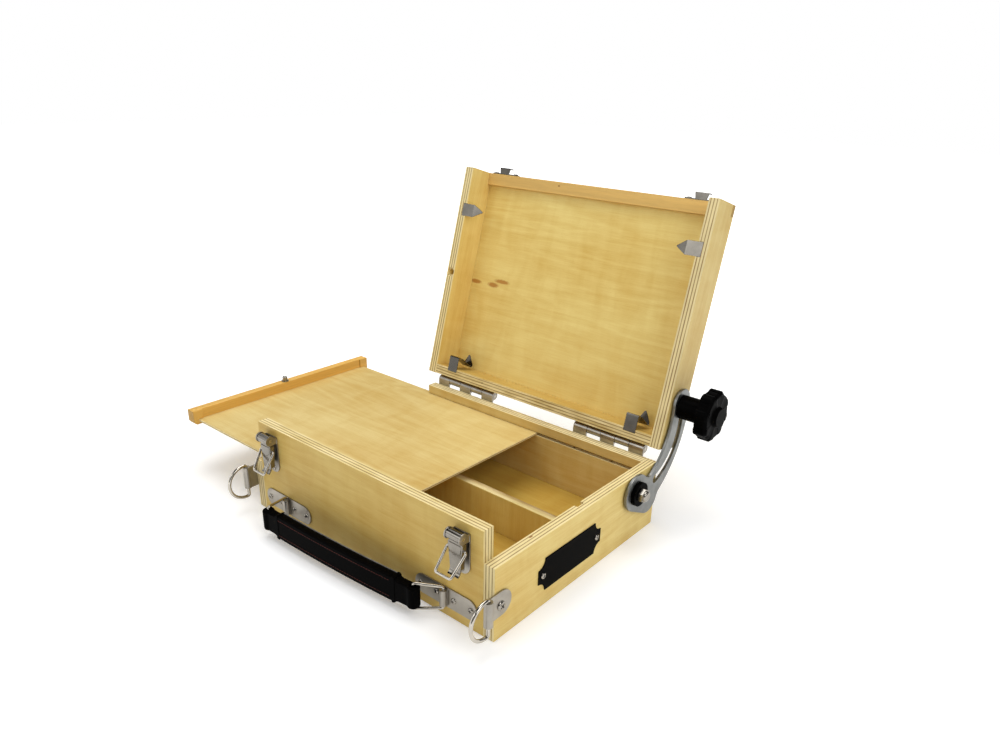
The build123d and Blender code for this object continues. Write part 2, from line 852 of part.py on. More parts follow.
def lever_outline(inset):
    """The lever's tapered outline from roll to foot, drawn smaller by the inset."""
    half_outline = [
        (latch_roll_width / 2 - inset, latch_pivot_z - 2),
        (latch_roll_width / 2 - inset, latch_pivot_z - 6),
        (8.4 - inset, latch_pivot_z - 7),
        (6.0 - inset, lever_foot),
    ]
    right = [(latch_x + x, z) for x, z in half_outline]
    left = [(latch_x - x, z) for x, z in reversed(half_outline)]
    return Polyline(*right, *left, close=True)


# The lever hangs from its roll: a tapered channel with a finger tab below.
with BuildPart() as latch_lever:
    with BuildSketch(Plane.XZ.offset(lever_back)):
        with BuildLine():
            lever_outline(0)
        make_face()
    extrude(amount=lever_depth)
    with BuildSketch(Plane.XZ.offset(lever_back)):
        with BuildLine():
            lever_outline(lever_sheet)
        make_face()
    extrude(amount=lever_depth - lever_sheet, mode=Mode.SUBTRACT)
    # The pressed chevron across the upper half.
    with BuildSketch(Plane.XZ.offset(lever_front)):
        with BuildLine():
            Polyline(
                (latch_x - 7.2, latch_pivot_z - 7),
                (latch_x - 6.4, latch_pivot_z - 15),
                (latch_x, latch_pivot_z - 18.5),
                (latch_x + 6.4, latch_pivot_z - 15),
                (latch_x + 7.2, latch_pivot_z - 7),
                close=True,
            )
        make_face()
    extrude(amount=0.8, taper=30)
    # The finger tab curls outward.
    with BuildSketch(Plane.YZ.offset(latch_x - 6)):
        with BuildLine():
            tab_root = (1 - lever_front, lever_foot + 0.2)
            tab_face = (-lever_front, lever_foot + 0.2)
            tab_tip = (-lever_front - 3.4, lever_foot - 5.2)
            tab_under = (tab_tip[0] + 0.6, tab_tip[1] - 0.9)
            Line(tab_root, tab_face)
            ThreePointArc(tab_face, (-lever_front - 0.7, lever_foot - 2.6), tab_tip)
            Line(tab_tip, tab_under)
            ThreePointArc(tab_under, (0.1 - lever_front, lever_foot - 3.3), tab_root)
        make_face()
    extrude(amount=12)
    roll_side = Plane.YZ.offset(latch_x - latch_roll_width / 2)
    with BuildSketch(roll_side):
        with Locations((latch_pivot_y, latch_pivot_z)):
            Circle(latch_roll_radius)
    extrude(amount=latch_roll_width)
    with BuildSketch(roll_side):
        with Locations((latch_pivot_y, latch_pivot_z)):
            Circle(latch_pin_radius + fit)
    extrude(amount=latch_roll_width, mode=Mode.SUBTRACT)
    with BuildSketch(Plane.YZ.offset(latch_x - 9)):
        with Locations((bail_pivot_y, bail_pivot_z)):
            Circle(bail_wire + fit)
    extrude(amount=18, mode=Mode.SUBTRACT)

with BuildPart() as latch_bail:
    with BuildLine() as bail_path:
        FilletPolyline(
            (latch_x + bail_hook, bail_pivot_y, bail_pivot_z),
            (latch_x + bail_half_width, bail_pivot_y, bail_pivot_z),
            (latch_x + bail_end_half_width, bail_pivot_y, bail_pivot_z - bail_length),
            (latch_x - bail_end_half_width, bail_pivot_y, bail_pivot_z - bail_length),
            (latch_x - bail_half_width, bail_pivot_y, bail_pivot_z),
            (latch_x - bail_hook, bail_pivot_y, bail_pivot_z),
            radius=2.2,
        )
    with BuildSketch(Plane(origin=bail_path.line @ 0, z_dir=bail_path.line % 0)):
        Circle(bail_wire)
    sweep()

with BuildPart() as latch_keepers:
    with BuildSketch(latch_front):
        with Locations((latch_x, keeper_level)):
            SlotOverall(40, 8)
    extrude(amount=keeper_thickness)
    # The shelf's lip turns up to hold the bail.
    keeper_foot = keeper_level - 4
    keeper_tip = -half_depth - keeper_reach
    with BuildSketch(Plane.YZ.offset(latch_x - 9)):
        with BuildLine():
            Polyline(
                (-half_depth, keeper_foot),
                (keeper_tip + 1, keeper_foot),
                (keeper_tip, keeper_foot + 1),
                (keeper_tip, keeper_foot + 6.5),
                (keeper_tip + keeper_thickness, keeper_foot + 6.5),
                (keeper_tip + keeper_thickness, keeper_foot + 1.7),
                (keeper_tip + keeper_thickness + 0.5, keeper_foot + keeper_thickness),
                (-half_depth, keeper_foot + keeper_thickness),
                close=True,
            )
        make_face()
    extrude(amount=18)
    # From above, the shelf spreads from its root to its lip.
    with BuildSketch(Plane.XY.offset(keeper_foot - 1)):
        with BuildLine():
            Polyline(
                (latch_x - 20, -half_depth),
                (latch_x - 20, -half_depth - keeper_thickness),
                (latch_x - 6.5, -half_depth - keeper_thickness),
                (latch_x - 8.2, keeper_tip),
                (latch_x + 8.2, keeper_tip),
                (latch_x + 6.5, -half_depth - keeper_thickness),
                (latch_x + 20, -half_depth - keeper_thickness),
                (latch_x + 20, -half_depth),
                close=True,
            )
        make_face()
    extrude(amount=10, mode=Mode.INTERSECT)
    with Locations(*keeper_seats):
        Hole(pilot_radius, 5)
    mirror(about=Plane.YZ)

with BuildPart() as keeper_screws:
    with Locations(*keeper_seats):
        add(round_screw(2.8, 1.4, 9))
    mirror(about=Plane.YZ)

# -------------------------------------------------------------------- handle
with BuildPart() as handle_brackets:
    with BuildSketch(latch_front):
        with Locations((bracket_x, handle_level)):
            SlotOverall(bracket_length, bracket_height)
    extrude(amount=bracket_thickness)
    with BuildSketch(Plane.XY.offset(handle_level - barrel_height / 2)):
        with Locations((bracket_x, barrel_y)):
            Circle(barrel_radius)
    extrude(amount=barrel_height)
    with BuildSketch(Plane.XY.offset(handle_level - barrel_height / 2)):
        with Locations((bracket_x, barrel_y)):
            Circle(link_wire + fit)
    extrude(amount=barrel_height, mode=Mode.SUBTRACT)
    with Locations(*bracket_seats):
        Hole(pilot_radius, 5)
    mirror(about=Plane.YZ)

with BuildPart() as handle_bracket_screws:
    with Locations(*bracket_seats):
        add(round_screw(3.0, 1.5, 9))
    mirror(about=Plane.YZ)

# Each link is a wire loop that widens from its bracket to the grip.
link_root = link_height / 2
link_tip = link_tip_height / 2
handle_link = wire_loop(
    [(0, -link_root), (0, link_root), (-link_length, link_tip), (-link_length, -link_tip)],
    link_corner,
    link_wire,
)


def eye_place(side, angle):
    """The plan of a grip's eye, its link turned inwards by the angle on that side."""
    turn = math.radians(angle)
    return (side * bracket_x - math.sin(turn) * link_length, barrel_y - math.cos(turn) * link_length)


left_eye = eye_place(-1, -left_link_angle)
right_eye = eye_place(1, right_link_angle)
grip_span = math.dist(left_eye, right_eye)
grip_angle = math.degrees(math.atan2(right_eye[1] - left_eye[1], right_eye[0] - left_eye[0]))

# The grip runs along +X from the eye on the left link to the one on the right.
with BuildPart() as handle_grip:
    with BuildSketch(Plane.XY.offset(-grip_height / 2)):
        with BuildLine():
            grip_curve = ThreePointArc((0, 0), (grip_span / 2, -grip_bow), (grip_span, 0))
        SlotArc(grip_curve, grip_thickness)
        with Locations((0, 0), (grip_span, 0)):
            Circle(eye_radius)
    extrude(amount=grip_height)
    # Towards the eyes the grip is cut down to pass between the links' wires.
    half_outline = [
        (-10, eye_height / 2),
        (eye_length, eye_height / 2),
        (eye_length + 6, grip_height / 2),
        (grip_span - eye_length - 6, grip_height / 2),
        (grip_span - eye_length, eye_height / 2),
        (grip_span + 10, eye_height / 2),
    ]
    with BuildSketch(Plane.XZ.offset(-20)):
        with BuildLine():
            Polyline(*half_outline, *[(x, -z) for x, z in reversed(half_outline)], close=True)
        make_face()
    extrude(amount=60, mode=Mode.INTERSECT)
    # One eye turns on its link's wire and the other is long enough to slip on it.
    with BuildSketch(Plane.XY.offset(-grip_height / 2)):
        Circle(link_wire + fit)
        with Locations((grip_span, 0)):
            SlotCenterToCenter(2 * (eye_slack - 1.0), 2 * (link_wire + 1.0))
    extrude(amount=grip_height, mode=Mode.SUBTRACT)

# --------------------------------------------------------------- strap rings
with BuildPart() as ring_straps:
    # A strap with a round end, rolled at the front round the ring's bar.
    with BuildSketch(Plane.YZ.offset(half_width)):
        with Locations((strap_end - strap_height, strap_level)):
            SlotOverall(2 * strap_height, strap_height)
        with Locations(((strap_end + strap_front) / 2 - strap_height / 4, strap_level)):
            Rectangle(strap_end - strap_front - strap_height / 2, strap_height)
        with Locations((strap_front - strap_height, strap_level)):
            Rectangle(2 * strap_height, 2 * strap_height, mode=Mode.SUBTRACT)
    extrude(amount=strap_thickness)
    with BuildSketch(Plane.XY.offset(strap_level - strap_height / 2)):
        with Locations((ring_bar_x, ring_bar_y)):
            Circle(strap_barrel_radius)
    extrude(amount=strap_height)
    with BuildSketch(Plane.XY.offset(strap_level - strap_height / 2)):
        with Locations((ring_bar_x, ring_bar_y)):
            Circle(ring_wire + fit)
    extrude(amount=strap_height, mode=Mode.SUBTRACT)
    with Locations(strap_seat):
        Hole(pilot_radius, 5)
    mirror(about=Plane.YZ)

with BuildPart() as ring_strap_screws:
    with Locations(strap_seat):
        add(round_screw(4.6, 2.0, 9))
    mirror(about=Plane.YZ)

with BuildPart() as carry_ring:
    ring_turn = ring_bar_y - ring_leg
    with BuildLine(Plane.YZ.offset(ring_bar_x)) as ring_path:
        Line((ring_turn, ring_level - ring_radius), (ring_bar_y, ring_level - ring_radius))
        Line((ring_bar_y, ring_level - ring_radius), (ring_bar_y, ring_level + ring_radius))
        Line((ring_bar_y, ring_level + ring_radius), (ring_turn, ring_level + ring_radius))
        ThreePointArc(
            (ring_turn, ring_level + ring_radius),
            (ring_turn - ring_radius, ring_level),
            (ring_turn, ring_level - ring_radius),
        )
        fillet(ring_path.vertices().sort_by(Axis.Y)[-2:], 2.4)
    with BuildSketch(Plane(origin=ring_path.line @ 0, z_dir=ring_path.line % 0)):
        Circle(ring_wire)
    sweep()

# ---------------------------------------------------------------- name plate
with BuildPart() as name_plate:
    with BuildSketch(Plane.YZ.offset(half_width)):
        with Locations((plate_y, plate_z)):
            Rectangle(plate_length, plate_height)
            with GridLocations(plate_length, plate_height, 2, 2):
                Circle(plate_notch, mode=Mode.SUBTRACT)
    extrude(amount=plate_thickness)
    with Locations(*plate_seats):
        Hole(pilot_radius, 5)

with BuildPart() as name_plate_screws:
    with Locations(*plate_seats):
        add(round_screw(3.0, 1.5, 8))

# -------------------------------------------------- placing the moving groups
in_place = Location()
lid_open = (
    Pos(0, hinge_y, hinge_z) * Rot(-lid_open_angle, 0, 0) * Pos(0, -hinge_y, -hinge_z)
)
palette_out = Pos(-palette_travel, 0, 0)
to_left_latch = Pos(-2 * latch_x, 0, 0)


def bail_leaning(angle):
    """A bail swung outward from straight down about its pivot."""
    pivot = Pos(0, bail_pivot_y, bail_pivot_z)
    return pivot * Rot(-angle, 0, 0) * pivot.inverse()


left_link_pose = Pos(-bracket_x, barrel_y, handle_level) * Rot(0, 0, left_link_angle)
right_link_pose = Pos(bracket_x, barrel_y, handle_level) * Rot(0, 0, -right_link_angle)
grip_pose = Pos(*left_eye, handle_level) * Rot(0, 0, grip_angle)
mirrored_ring = mirror(carry_ring.part, about=Plane.YZ)

pieces = {
    "floor_panel": (floor_panel.part, in_place),
    "front_panel": (front_panel.part, in_place),
    "rear_wall": (rear_wall.part, in_place),
    "left_wall": (left_wall.part, in_place),
    "right_wall": (right_wall.part, in_place),
    "tray_divider": (tray_divider.part, in_place),
    "hinge_base_leaves": (hinge_base_leaves.part, in_place),
    "hinge_base_screws": (hinge_base_screws.part, in_place),
    "hinge_pins": (hinge_pins.part, in_place),
    "arm_bolt": (arm_bolt.part, in_place),
    "arm_bolt_nut": (arm_bolt_nut.part, in_place),
    "arm_washers": (arm_washers.part, in_place),
    "latch_plates": (latch_plates.part, in_place),
    "latch_pins": (latch_pins.part, in_place),
    "latch_screws": (latch_screws.part, in_place),
    "handle_brackets": (handle_brackets.part, in_place),
    "handle_bracket_screws": (handle_bracket_screws.part, in_place),
    "ring_straps": (ring_straps.part, in_place),
    "ring_strap_screws": (ring_strap_screws.part, in_place),
    "name_plate": (name_plate.part, in_place),
    "name_plate_screws": (name_plate_screws.part, in_place),
    "lid_left_side": (lid_left_side.part, lid_open),
    "lid_right_side": (lid_right_side.part, lid_open),
    "lid_rear_rail": (lid_rear_rail.part, lid_open),
    "lid_front_rail": (lid_front_rail.part, lid_open),
    "lid_back_panel": (lid_back_panel.part, lid_open),
    "hinge_lid_leaves": (hinge_lid_leaves.part, lid_open),
    "hinge_lid_screws": (hinge_lid_screws.part, lid_open),
    "latch_keepers": (latch_keepers.part, lid_open),
    "keeper_screws": (keeper_screws.part, lid_open),
    "panel_clips_side": (panel_clips_side.part, lid_open),
    "panel_clips_rail": (panel_clips_rail.part, lid_open),
    "stud_insert": (stud_insert.part, lid_open),
    "clamp_stud": (clamp_stud.part, lid_open),
    "clamp_knob": (clamp_knob.part, lid_open),
    "support_arm": (support_arm.part, in_place),
    "palette_board": (palette_board.part, palette_out),
    "palette_lip": (palette_lip.part, palette_out),
    "lock_stud": (lock_stud.part, palette_out),
    "latch_lever_left": (latch_lever.part, to_left_latch),
    "latch_lever_right": (latch_lever.part, in_place),
    "latch_bail_left": (latch_bail.part, to_left_latch * bail_leaning(left_bail_angle)),
    "latch_bail_right": (latch_bail.part, bail_leaning(right_bail_angle)),
    "handle_link_left": (handle_link, left_link_pose),
    "handle_link_right": (handle_link, right_link_pose),
    "handle_grip": (handle_grip.part, grip_pose),
    "carry_ring_left": (mirrored_ring, in_place),
    "carry_ring_right": (carry_ring.part, in_place),
}

os.makedirs("parts", exist_ok=True)
for name, (shape, pose) in pieces.items():
    piece = pose * shape
    piece.label = name
    export_step(piece, f"parts/{name}.step")
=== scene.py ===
import json
import math

import bpy
from bpy.props import FloatProperty, FloatVectorProperty, PointerProperty
from mathutils import Matrix, Vector

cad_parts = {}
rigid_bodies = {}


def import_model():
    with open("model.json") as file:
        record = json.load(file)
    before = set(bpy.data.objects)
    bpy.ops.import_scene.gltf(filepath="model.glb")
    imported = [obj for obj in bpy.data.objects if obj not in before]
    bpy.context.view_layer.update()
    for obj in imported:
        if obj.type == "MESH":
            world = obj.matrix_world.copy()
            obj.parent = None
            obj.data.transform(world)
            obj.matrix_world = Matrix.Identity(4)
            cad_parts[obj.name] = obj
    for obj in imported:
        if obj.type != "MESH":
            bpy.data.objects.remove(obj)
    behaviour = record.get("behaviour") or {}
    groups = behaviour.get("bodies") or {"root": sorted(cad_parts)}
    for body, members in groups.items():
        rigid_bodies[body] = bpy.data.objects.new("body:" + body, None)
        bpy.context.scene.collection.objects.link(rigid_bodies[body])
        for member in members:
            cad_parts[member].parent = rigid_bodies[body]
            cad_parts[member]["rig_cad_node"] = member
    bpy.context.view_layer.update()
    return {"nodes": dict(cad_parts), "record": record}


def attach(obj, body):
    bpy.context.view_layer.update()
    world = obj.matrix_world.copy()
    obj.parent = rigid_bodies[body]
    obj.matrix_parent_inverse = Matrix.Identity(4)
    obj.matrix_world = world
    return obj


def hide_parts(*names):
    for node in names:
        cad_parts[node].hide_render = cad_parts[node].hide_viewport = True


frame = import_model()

bl_info = {
    "name": "Pochade Box",
    "version": (1, 0, 0),
    "blender": (4, 5, 0),
    "location": "View3D > Sidebar > Pochade Box",
    "description": "Finishes a plywood painting box: its boards, hardware, grip and knob",
    "category": "Object",
}

MM = 0.001
# Points closer than this are merged in a copy of a node.
MERGE_REACH = 0.002 * MM
# Edges sharper than this are eased, and smaller steps than the second are blended.
SHARP_ANGLE = 40
SMOOTH_ANGLE = 28

# The lid's hinge line and how far the lid stands open.
HINGE = Vector((0, 132.5 * MM, 79.5 * MM))
LID_OPEN = math.radians(105.8)
# The body that carries each node.
BODY_OF = {
    node: body
    for body, nodes in frame["record"]["behaviour"]["bodies"].items()
    for node in nodes
}


# ------------------------------------------------------------------ settings
class WoodSettings(bpy.types.PropertyGroup):
    """The colours of the boards and how far their edges are eased."""

    birch: FloatVectorProperty(
        name="Birch face",
        description="The face veneer of the plywood",
        subtype="COLOR",
        default=(0.79, 0.63, 0.265),
    )
    birch_warm: FloatVectorProperty(
        name="Birch figure",
        description="The darker figure in the face veneer",
        subtype="COLOR",
        default=(0.61, 0.39, 0.10),
    )
    ply_light: FloatVectorProperty(
        name="Light ply",
        description="The plies that show long grain at an edge",
        subtype="COLOR",
        default=(0.86, 0.72, 0.38),
    )
    ply_dark: FloatVectorProperty(
        name="Dark ply",
        description="The plies that show end grain at an edge",
        subtype="COLOR",
        default=(0.24, 0.115, 0.025),
    )
    softwood: FloatVectorProperty(
        name="Softwood",
        description="The solid rails and the divider",
        subtype="COLOR",
        default=(0.72, 0.46, 0.14),
    )
    easing: FloatProperty(
        name="Eased edges",
        description="How far the boards' edges are rounded",
        default=0.5 * MM,
        min=0,
        unit="LENGTH",
    )


class MetalSettings(bpy.types.PropertyGroup):
    """The colours of the hardware."""

    nickel: FloatVectorProperty(
        name="Nickel",
        description="Latches, handle fittings, strap rings and clips",
        subtype="COLOR",
        default=(0.43, 0.40, 0.35),
    )
    zinc: FloatVectorProperty(
        name="Zinc",
        description="The lid arm and its bolt",
        subtype="COLOR",
        default=(0.255, 0.26, 0.25),
    )
    easing: FloatProperty(
        name="Eased edges",
        description="How far the pressed edges are rounded",
        default=0.25 * MM,
        min=0,
        unit="LENGTH",
    )


class GripSettings(bpy.types.PropertyGroup):
    """The stitching along the leather grip."""

    stitch_pitch: FloatProperty(
        name="Stitch pitch",
        description="The distance from one stitch to the next",
        default=3.2 * MM,
        min=1.0 * MM,
        unit="LENGTH",
    )
    stitch_row: FloatProperty(
        name="Stitch row",
        description="How far each row of stitches lies from the grip's middle line",
        default=8.5 * MM,
        unit="LENGTH",
    )


class StageSettings(bpy.types.PropertyGroup):
    """The camera, the lamps and the floor."""

    camera_place: FloatVectorProperty(
        name="Camera place",
        description="Where the camera stands",
        subtype="XYZ",
        unit="LENGTH",
        default=(0.50293, -0.52081, 0.43673),
    )
    camera_turn: FloatVectorProperty(
        name="Camera turn",
        description="How the camera is turned",
        subtype="EULER",
        default=(math.radians(66.757), math.radians(-1.569), math.radians(39.675)),
    )
    focal_length: FloatProperty(
        name="Focal length",
        description="The camera's focal length in millimetres on a 36 mm sensor",
        default=27.917,
    )
    key_power: FloatProperty(
        name="Key lamp",
        description="Power of the large soft lamp at the right",
        default=11.0,
        unit="POWER",
    )
    top_power: FloatProperty(
        name="Top lamp",
        description="Power of the soft lamp above the box",
        default=21.0,
        unit="POWER",
    )
    front_power: FloatProperty(
        name="Front lamp",
        description="Power of the soft lamp that looks into the open lid",
        default=3.5,
        unit="POWER",
    )
    floor_glow: FloatProperty(
        name="Floor glow",
        description="How much of the floor's white near the box is its own",
        default=0.22,
    )
    sky: FloatProperty(
        name="Fill",
        description="Strength of the even fill from all sides",
        default=0.45,
    )


# ----------------------------------------------------------- working helpers
def work_on(piece):
    """Leaves only this piece selected and active."""
    bpy.ops.object.select_all(action="DESELECT")
    piece.select_set(True)
    bpy.context.view_layer.objects.active = piece


def settle(piece, smooth_angle):
    """Applies the piece's place to its mesh and smooths its shallow edges."""
    work_on(piece)
    bpy.ops.object.transform_apply(location=True, rotation=True, scale=True)
    bpy.ops.object.shade_smooth_by_angle(angle=math.radians(smooth_angle))


def apply_modifier(piece, kind, **values):
    """Adds a modifier to the piece, sets it and applies it."""
    work_on(piece)
    bpy.ops.object.modifier_add(type=kind)
    modifier = piece.modifiers[-1]
    for key, value in values.items():
        setattr(modifier, key, value)
    bpy.ops.object.modifier_apply(modifier=modifier.name)


def open_copy(node):
    """A copy of a node, in edit mode with its loose triangles merged and selected."""
    work_on(frame["nodes"][node])
    bpy.ops.object.duplicate()
    piece = bpy.context.active_object
    del piece["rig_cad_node"]
    bpy.ops.object.mode_set(mode="EDIT")
    bpy.ops.mesh.select_all(action="SELECT")
    bpy.ops.mesh.remove_doubles(threshold=MERGE_REACH)
    return piece


def merged_copy(node, name):
    """A copy of a node whose loose triangles are merged, standing in for it."""
    piece = open_copy(node)
    piece.name = name
    piece.data.name = name
    bpy.ops.mesh.normals_make_consistent(inside=False)
    bpy.ops.mesh.customdata_custom_splitnormals_clear()
    bpy.ops.object.mode_set(mode="OBJECT")
    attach(piece, BODY_OF[node])
    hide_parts(node)
    return piece


def eased_copy(
    node, name, easing, shortest, angle=SHARP_ANGLE, smooth_angle=SMOOTH_ANGLE
):
    """A merged copy of a node with its sharp edges rounded.

    Edges shorter than the shortest length, such as the rims of screw holes, stay sharp.
    Steps of the rounding under the smooth angle are blended, and flat faces stay flat.
    """
    piece = merged_copy(node, name)
    work_on(piece)
    bpy.ops.object.mode_set(mode="EDIT")
    bpy.ops.mesh.select_mode(type="EDGE")
    bpy.ops.mesh.select_all(action="DESELECT")
    bpy.ops.mesh.edges_select_sharp(sharpness=math.radians(angle))
    bpy.ops.object.mode_set(mode="OBJECT")
    points = piece.data.vertices
    for edge in piece.data.edges:
        start, end = (points[number].co for number in edge.vertices)
        if (end - start).length < shortest:
            edge.select = False
    bpy.ops.object.mode_set(mode="EDIT")
    bpy.ops.mesh.bevel(
        offset=easing, segments=2, affect="EDGES", clamp_overlap=False, loop_slide=False
    )
    bpy.ops.object.mode_set(mode="OBJECT")
    settle(piece, smooth_angle)
    # Large faces set the shading of the corners they share with the rounded edges.
    apply_modifier(piece, "WEIGHTED_NORMAL", keep_sharp=True)
    return piece


def placed_copy(model, place, outward, spin):
    """A copy of a model that stands on Z = 0, set at a place and facing outward."""
    piece = model.copy()
    piece.data = model.data.copy()
    bpy.context.collection.objects.link(piece)
    turn = Vector((0, 0, 1)).rotation_difference(outward)
    turned = turn.to_matrix().to_4x4() @ Matrix.Rotation(spin, 4, "Z")
    piece.matrix_world = Matrix.Translation(place) @ turned
    return piece


def joined(pieces, name):
    """One object from many, at the origin and unturned."""
    bpy.ops.object.select_all(action="DESELECT")
    for piece in pieces:
        piece.select_set(True)
    bpy.context.view_layer.objects.active = pieces[0]
    bpy.ops.object.transform_apply(location=True, rotation=True, scale=True)
    bpy.ops.object.join()
    whole = bpy.context.active_object
    whole.name = name
    whole.data.name = name
    return whole


def discard(pieces):
    """Deletes models that were only a help."""
    bpy.ops.object.select_all(action="DESELECT")
    for piece in pieces:
        piece.select_set(True)
    bpy.ops.object.delete()


def select_faces(piece, chosen):
    """In edit mode, selects the faces whose middle and normal are chosen."""
    bpy.ops.mesh.select_all(action="DESELECT")
    bpy.ops.object.mode_set(mode="OBJECT")
    for polygon in piece.data.polygons:
        polygon.select = chosen(polygon.center, polygon.normal)
    bpy.ops.object.mode_set(mode="EDIT")
    bpy.ops.mesh.select_mode(type="FACE")


# ----------------------------------------------------------------- materials
class Recipe:
    """A material, or a world, whose nodes are being wired up."""

    def __init__(self, name, library="materials", shader="Principled BSDF"):
        self.made = getattr(bpy.data, library).new(name)
        self.made.use_nodes = True
        self.tree = self.made.node_tree
        self.shader = self.tree.nodes[shader]

    def add(self, kind, inputs=None, **settings):
        """A node with its settings and inputs; an input is a value or a socket."""
        made = self.tree.nodes.new(kind)
        for key, value in settings.items():
            setattr(made, key, value)
        for key, value in (inputs or {}).items():
            self.put(made.inputs[key], value)
        return made

    def put(self, socket, value):
        """Sets a socket to a value, or links it to another socket."""
        if isinstance(value, bpy.types.NodeSocket):
            self.tree.links.new(value, socket)
        else:
            socket.default_value = value

    def calc(self, operation, *values):
        """The result of a Math node."""
        return self.add("ShaderNodeMath", dict(enumerate(values)), operation=operation).outputs[0]

    def mix(self, share, first, second, blend="MIX"):
        """Two colours mixed by a share."""
        made = self.add("ShaderNodeMix", data_type="RGBA", blend_type=blend)
        self.put(made.inputs["Factor"], share)
        self.put(made.inputs[6], first)
        self.put(made.inputs[7], second)
        return made.outputs[2]

    def ramp(self, value, *stops):
        """A value from 0 to 1 spread over stops of (position, level)."""
        made = self.add("ShaderNodeValToRGB", {"Fac": value})
        elements = made.color_ramp.elements
        while len(elements) < len(stops):
            elements.new(0.5)
        for element, (position, level) in zip(elements, stops):
            element.position = position
            element.color = (level, level, level, 1)
        return made.outputs["Color"]

    def noise(self, place, scales, detail=2.0, distortion=0.0):
        """Noise whose cells are stretched by three scales per metre."""
        stretched = self.add("ShaderNodeMapping", {"Vector": place, "Scale": scales})
        return self.add(
            "ShaderNodeTexNoise",
            {
                "Vector": stretched.outputs[0],
                "Scale": 1.0,
                "Detail": detail,
                "Distortion": distortion,
            },
        ).outputs[0]

    def bump(self, height, strength, depth):
        """Feeds a height to the shader's normal; depth is in metres."""
        made = self.add(
            "ShaderNodeBump", {"Height": height, "Strength": strength, "Distance": depth}
        )
        self.put(self.shader.inputs["Normal"], made.outputs[0])

    def finish(self, **values):
        """Sets the shader's own sockets; names use _ for a space."""
        for key, value in values.items():
            self.put(self.shader.inputs[key.replace("_", " ")], value)
        return self.made


def rgba(colour, shade=1.0, tone=(1, 1, 1)):
    """A colour with its alpha, lightened or darkened by a shade and by a board's toning, which
    holds painted light and shade.
    """
    return (*[min(1.0, c * shade * t) for c, t in zip(colour, tone)], 1.0)


class Board:
    """How a board lies: its grain, its thickness, its toning, partly its own colour and partly
    painted light and shade, and its marks.
    """

    def __init__(
        self, grain, through, start, thickness, lid=False, plies=7, tone=(1, 1, 1), marks=()
    ):
        self.grain = Vector(grain)
        self.through = Vector(through)
        self.start = start * MM
        self.thickness = thickness * MM
        self.lid = lid
        self.plies = plies
        self.tone = tone
        self.marks = marks

    def frame(self):
        """The turn and shift from the object's coordinates to the board's own:
        along the grain, across it, and through the board from one face."""
        across = self.through.cross(self.grain)
        turn = Matrix((self.grain, across, self.through))
        shift = Vector((0, 0, -self.start))
        if self.lid:
            close = Matrix.Rotation(LID_OPEN, 3, "X")
            shift += turn @ (HINGE - close @ HINGE)
            turn = turn @ close
        return turn.to_euler(), shift


# A normal that points along an axis by more than this belongs to a face across it.
FACING_SHARE = 0.72


def board_coordinates(recipe, board):
    """Sockets for the place in the board's own frame, its parts and its normal."""
    turn, shift = board.frame()
    source = recipe.add("ShaderNodeTexCoord")
    place = recipe.add(
        "ShaderNodeMapping",
        {"Vector": source.outputs["Object"], "Rotation": turn, "Location": shift},
    ).outputs[0]
    normal = recipe.add(
        "ShaderNodeMapping",
        {"Vector": source.outputs["Normal"], "Rotation": turn},
        vector_type="VECTOR",
    ).outputs[0]
    parts = recipe.add("ShaderNodeSeparateXYZ", {0: place})
    facing = recipe.add("ShaderNodeSeparateXYZ", {0: normal})
    return place, parts, facing


def birch_face(recipe, place, board, settings):
    """The face veneer: soft figure, fine fibres and short dark pores."""
    figure = recipe.noise(place, (3.0, 20.0, 0.0), 2.0, 0.8)
    rings = recipe.calc("SINE", recipe.calc("MULTIPLY", figure, 42.0))
    bands = recipe.calc("MULTIPLY_ADD", rings, 0.5, 0.5)
    blotch = recipe.noise(place, (4.0, 8.0, 0.0), 3.0)
    streaks = recipe.noise(place, (7.0, 190.0, 60.0), 3.0, 0.3)
    fibre = recipe.noise(place, (45.0, 1100.0, 300.0), 3.0)
    pores = recipe.noise(place, (260.0, 2400.0, 800.0), 1.0)
    # Soft patches that cross the grain.
    curl = recipe.noise(place, (45.0, 14.0, 0.0), 3.0, 0.5)
    # Each layer: where it starts and is full, and how much it darkens.
    layers = (
        (blotch, 0.40, 0.70, 0.36),
        (streaks, 0.40, 0.70, 0.17),
        (fibre, 0.35, 0.75, 0.24),
        (pores, 0.64, 0.72, 0.25),
        (curl, 0.40, 0.75, 0.26),
    )
    share = recipe.calc("MULTIPLY", bands, 0.20)
    for layer, low, high, weight in layers:
        level = recipe.ramp(layer, (low, 0.0), (high, 1.0))
        share = recipe.calc("MULTIPLY_ADD", level, weight, share)
    light = rgba(settings.birch, 1.0, board.tone)
    dark = rgba(settings.birch_warm, 1.0, board.tone)
    return recipe.mix(share, light, dark), fibre


def marked(recipe, place, board, colour):
    """The colour with the board's marks: knots, nail dots and filled spots."""
    for along, across, through, length, width, tint in board.marks:
        centred = recipe.add(
            "ShaderNodeVectorMath",
            {0: place, 1: (along * MM, across * MM, through * MM)},
            operation="SUBTRACT",
        ).outputs[0]
        scaled = recipe.add(
            "ShaderNodeVectorMath",
            {0: centred, 1: (1 / (length * MM), 1 / (width * MM), 1 / (width * MM))},
            operation="MULTIPLY",
        ).outputs[0]
        away = recipe.add(
            "ShaderNodeVectorMath", {0: scaled}, operation="LENGTH"
        ).outputs["Value"]
        ragged = recipe.calc("MULTIPLY_ADD", recipe.noise(place, (400.0, 700.0, 700.0)), 0.5, away)
        spot = recipe.ramp(recipe.calc("MULTIPLY", ragged, 0.5), (0.42, 1.0), (0.66, 0.0))
        colour = recipe.mix(spot, colour, (*tint, 1.0))
    return colour


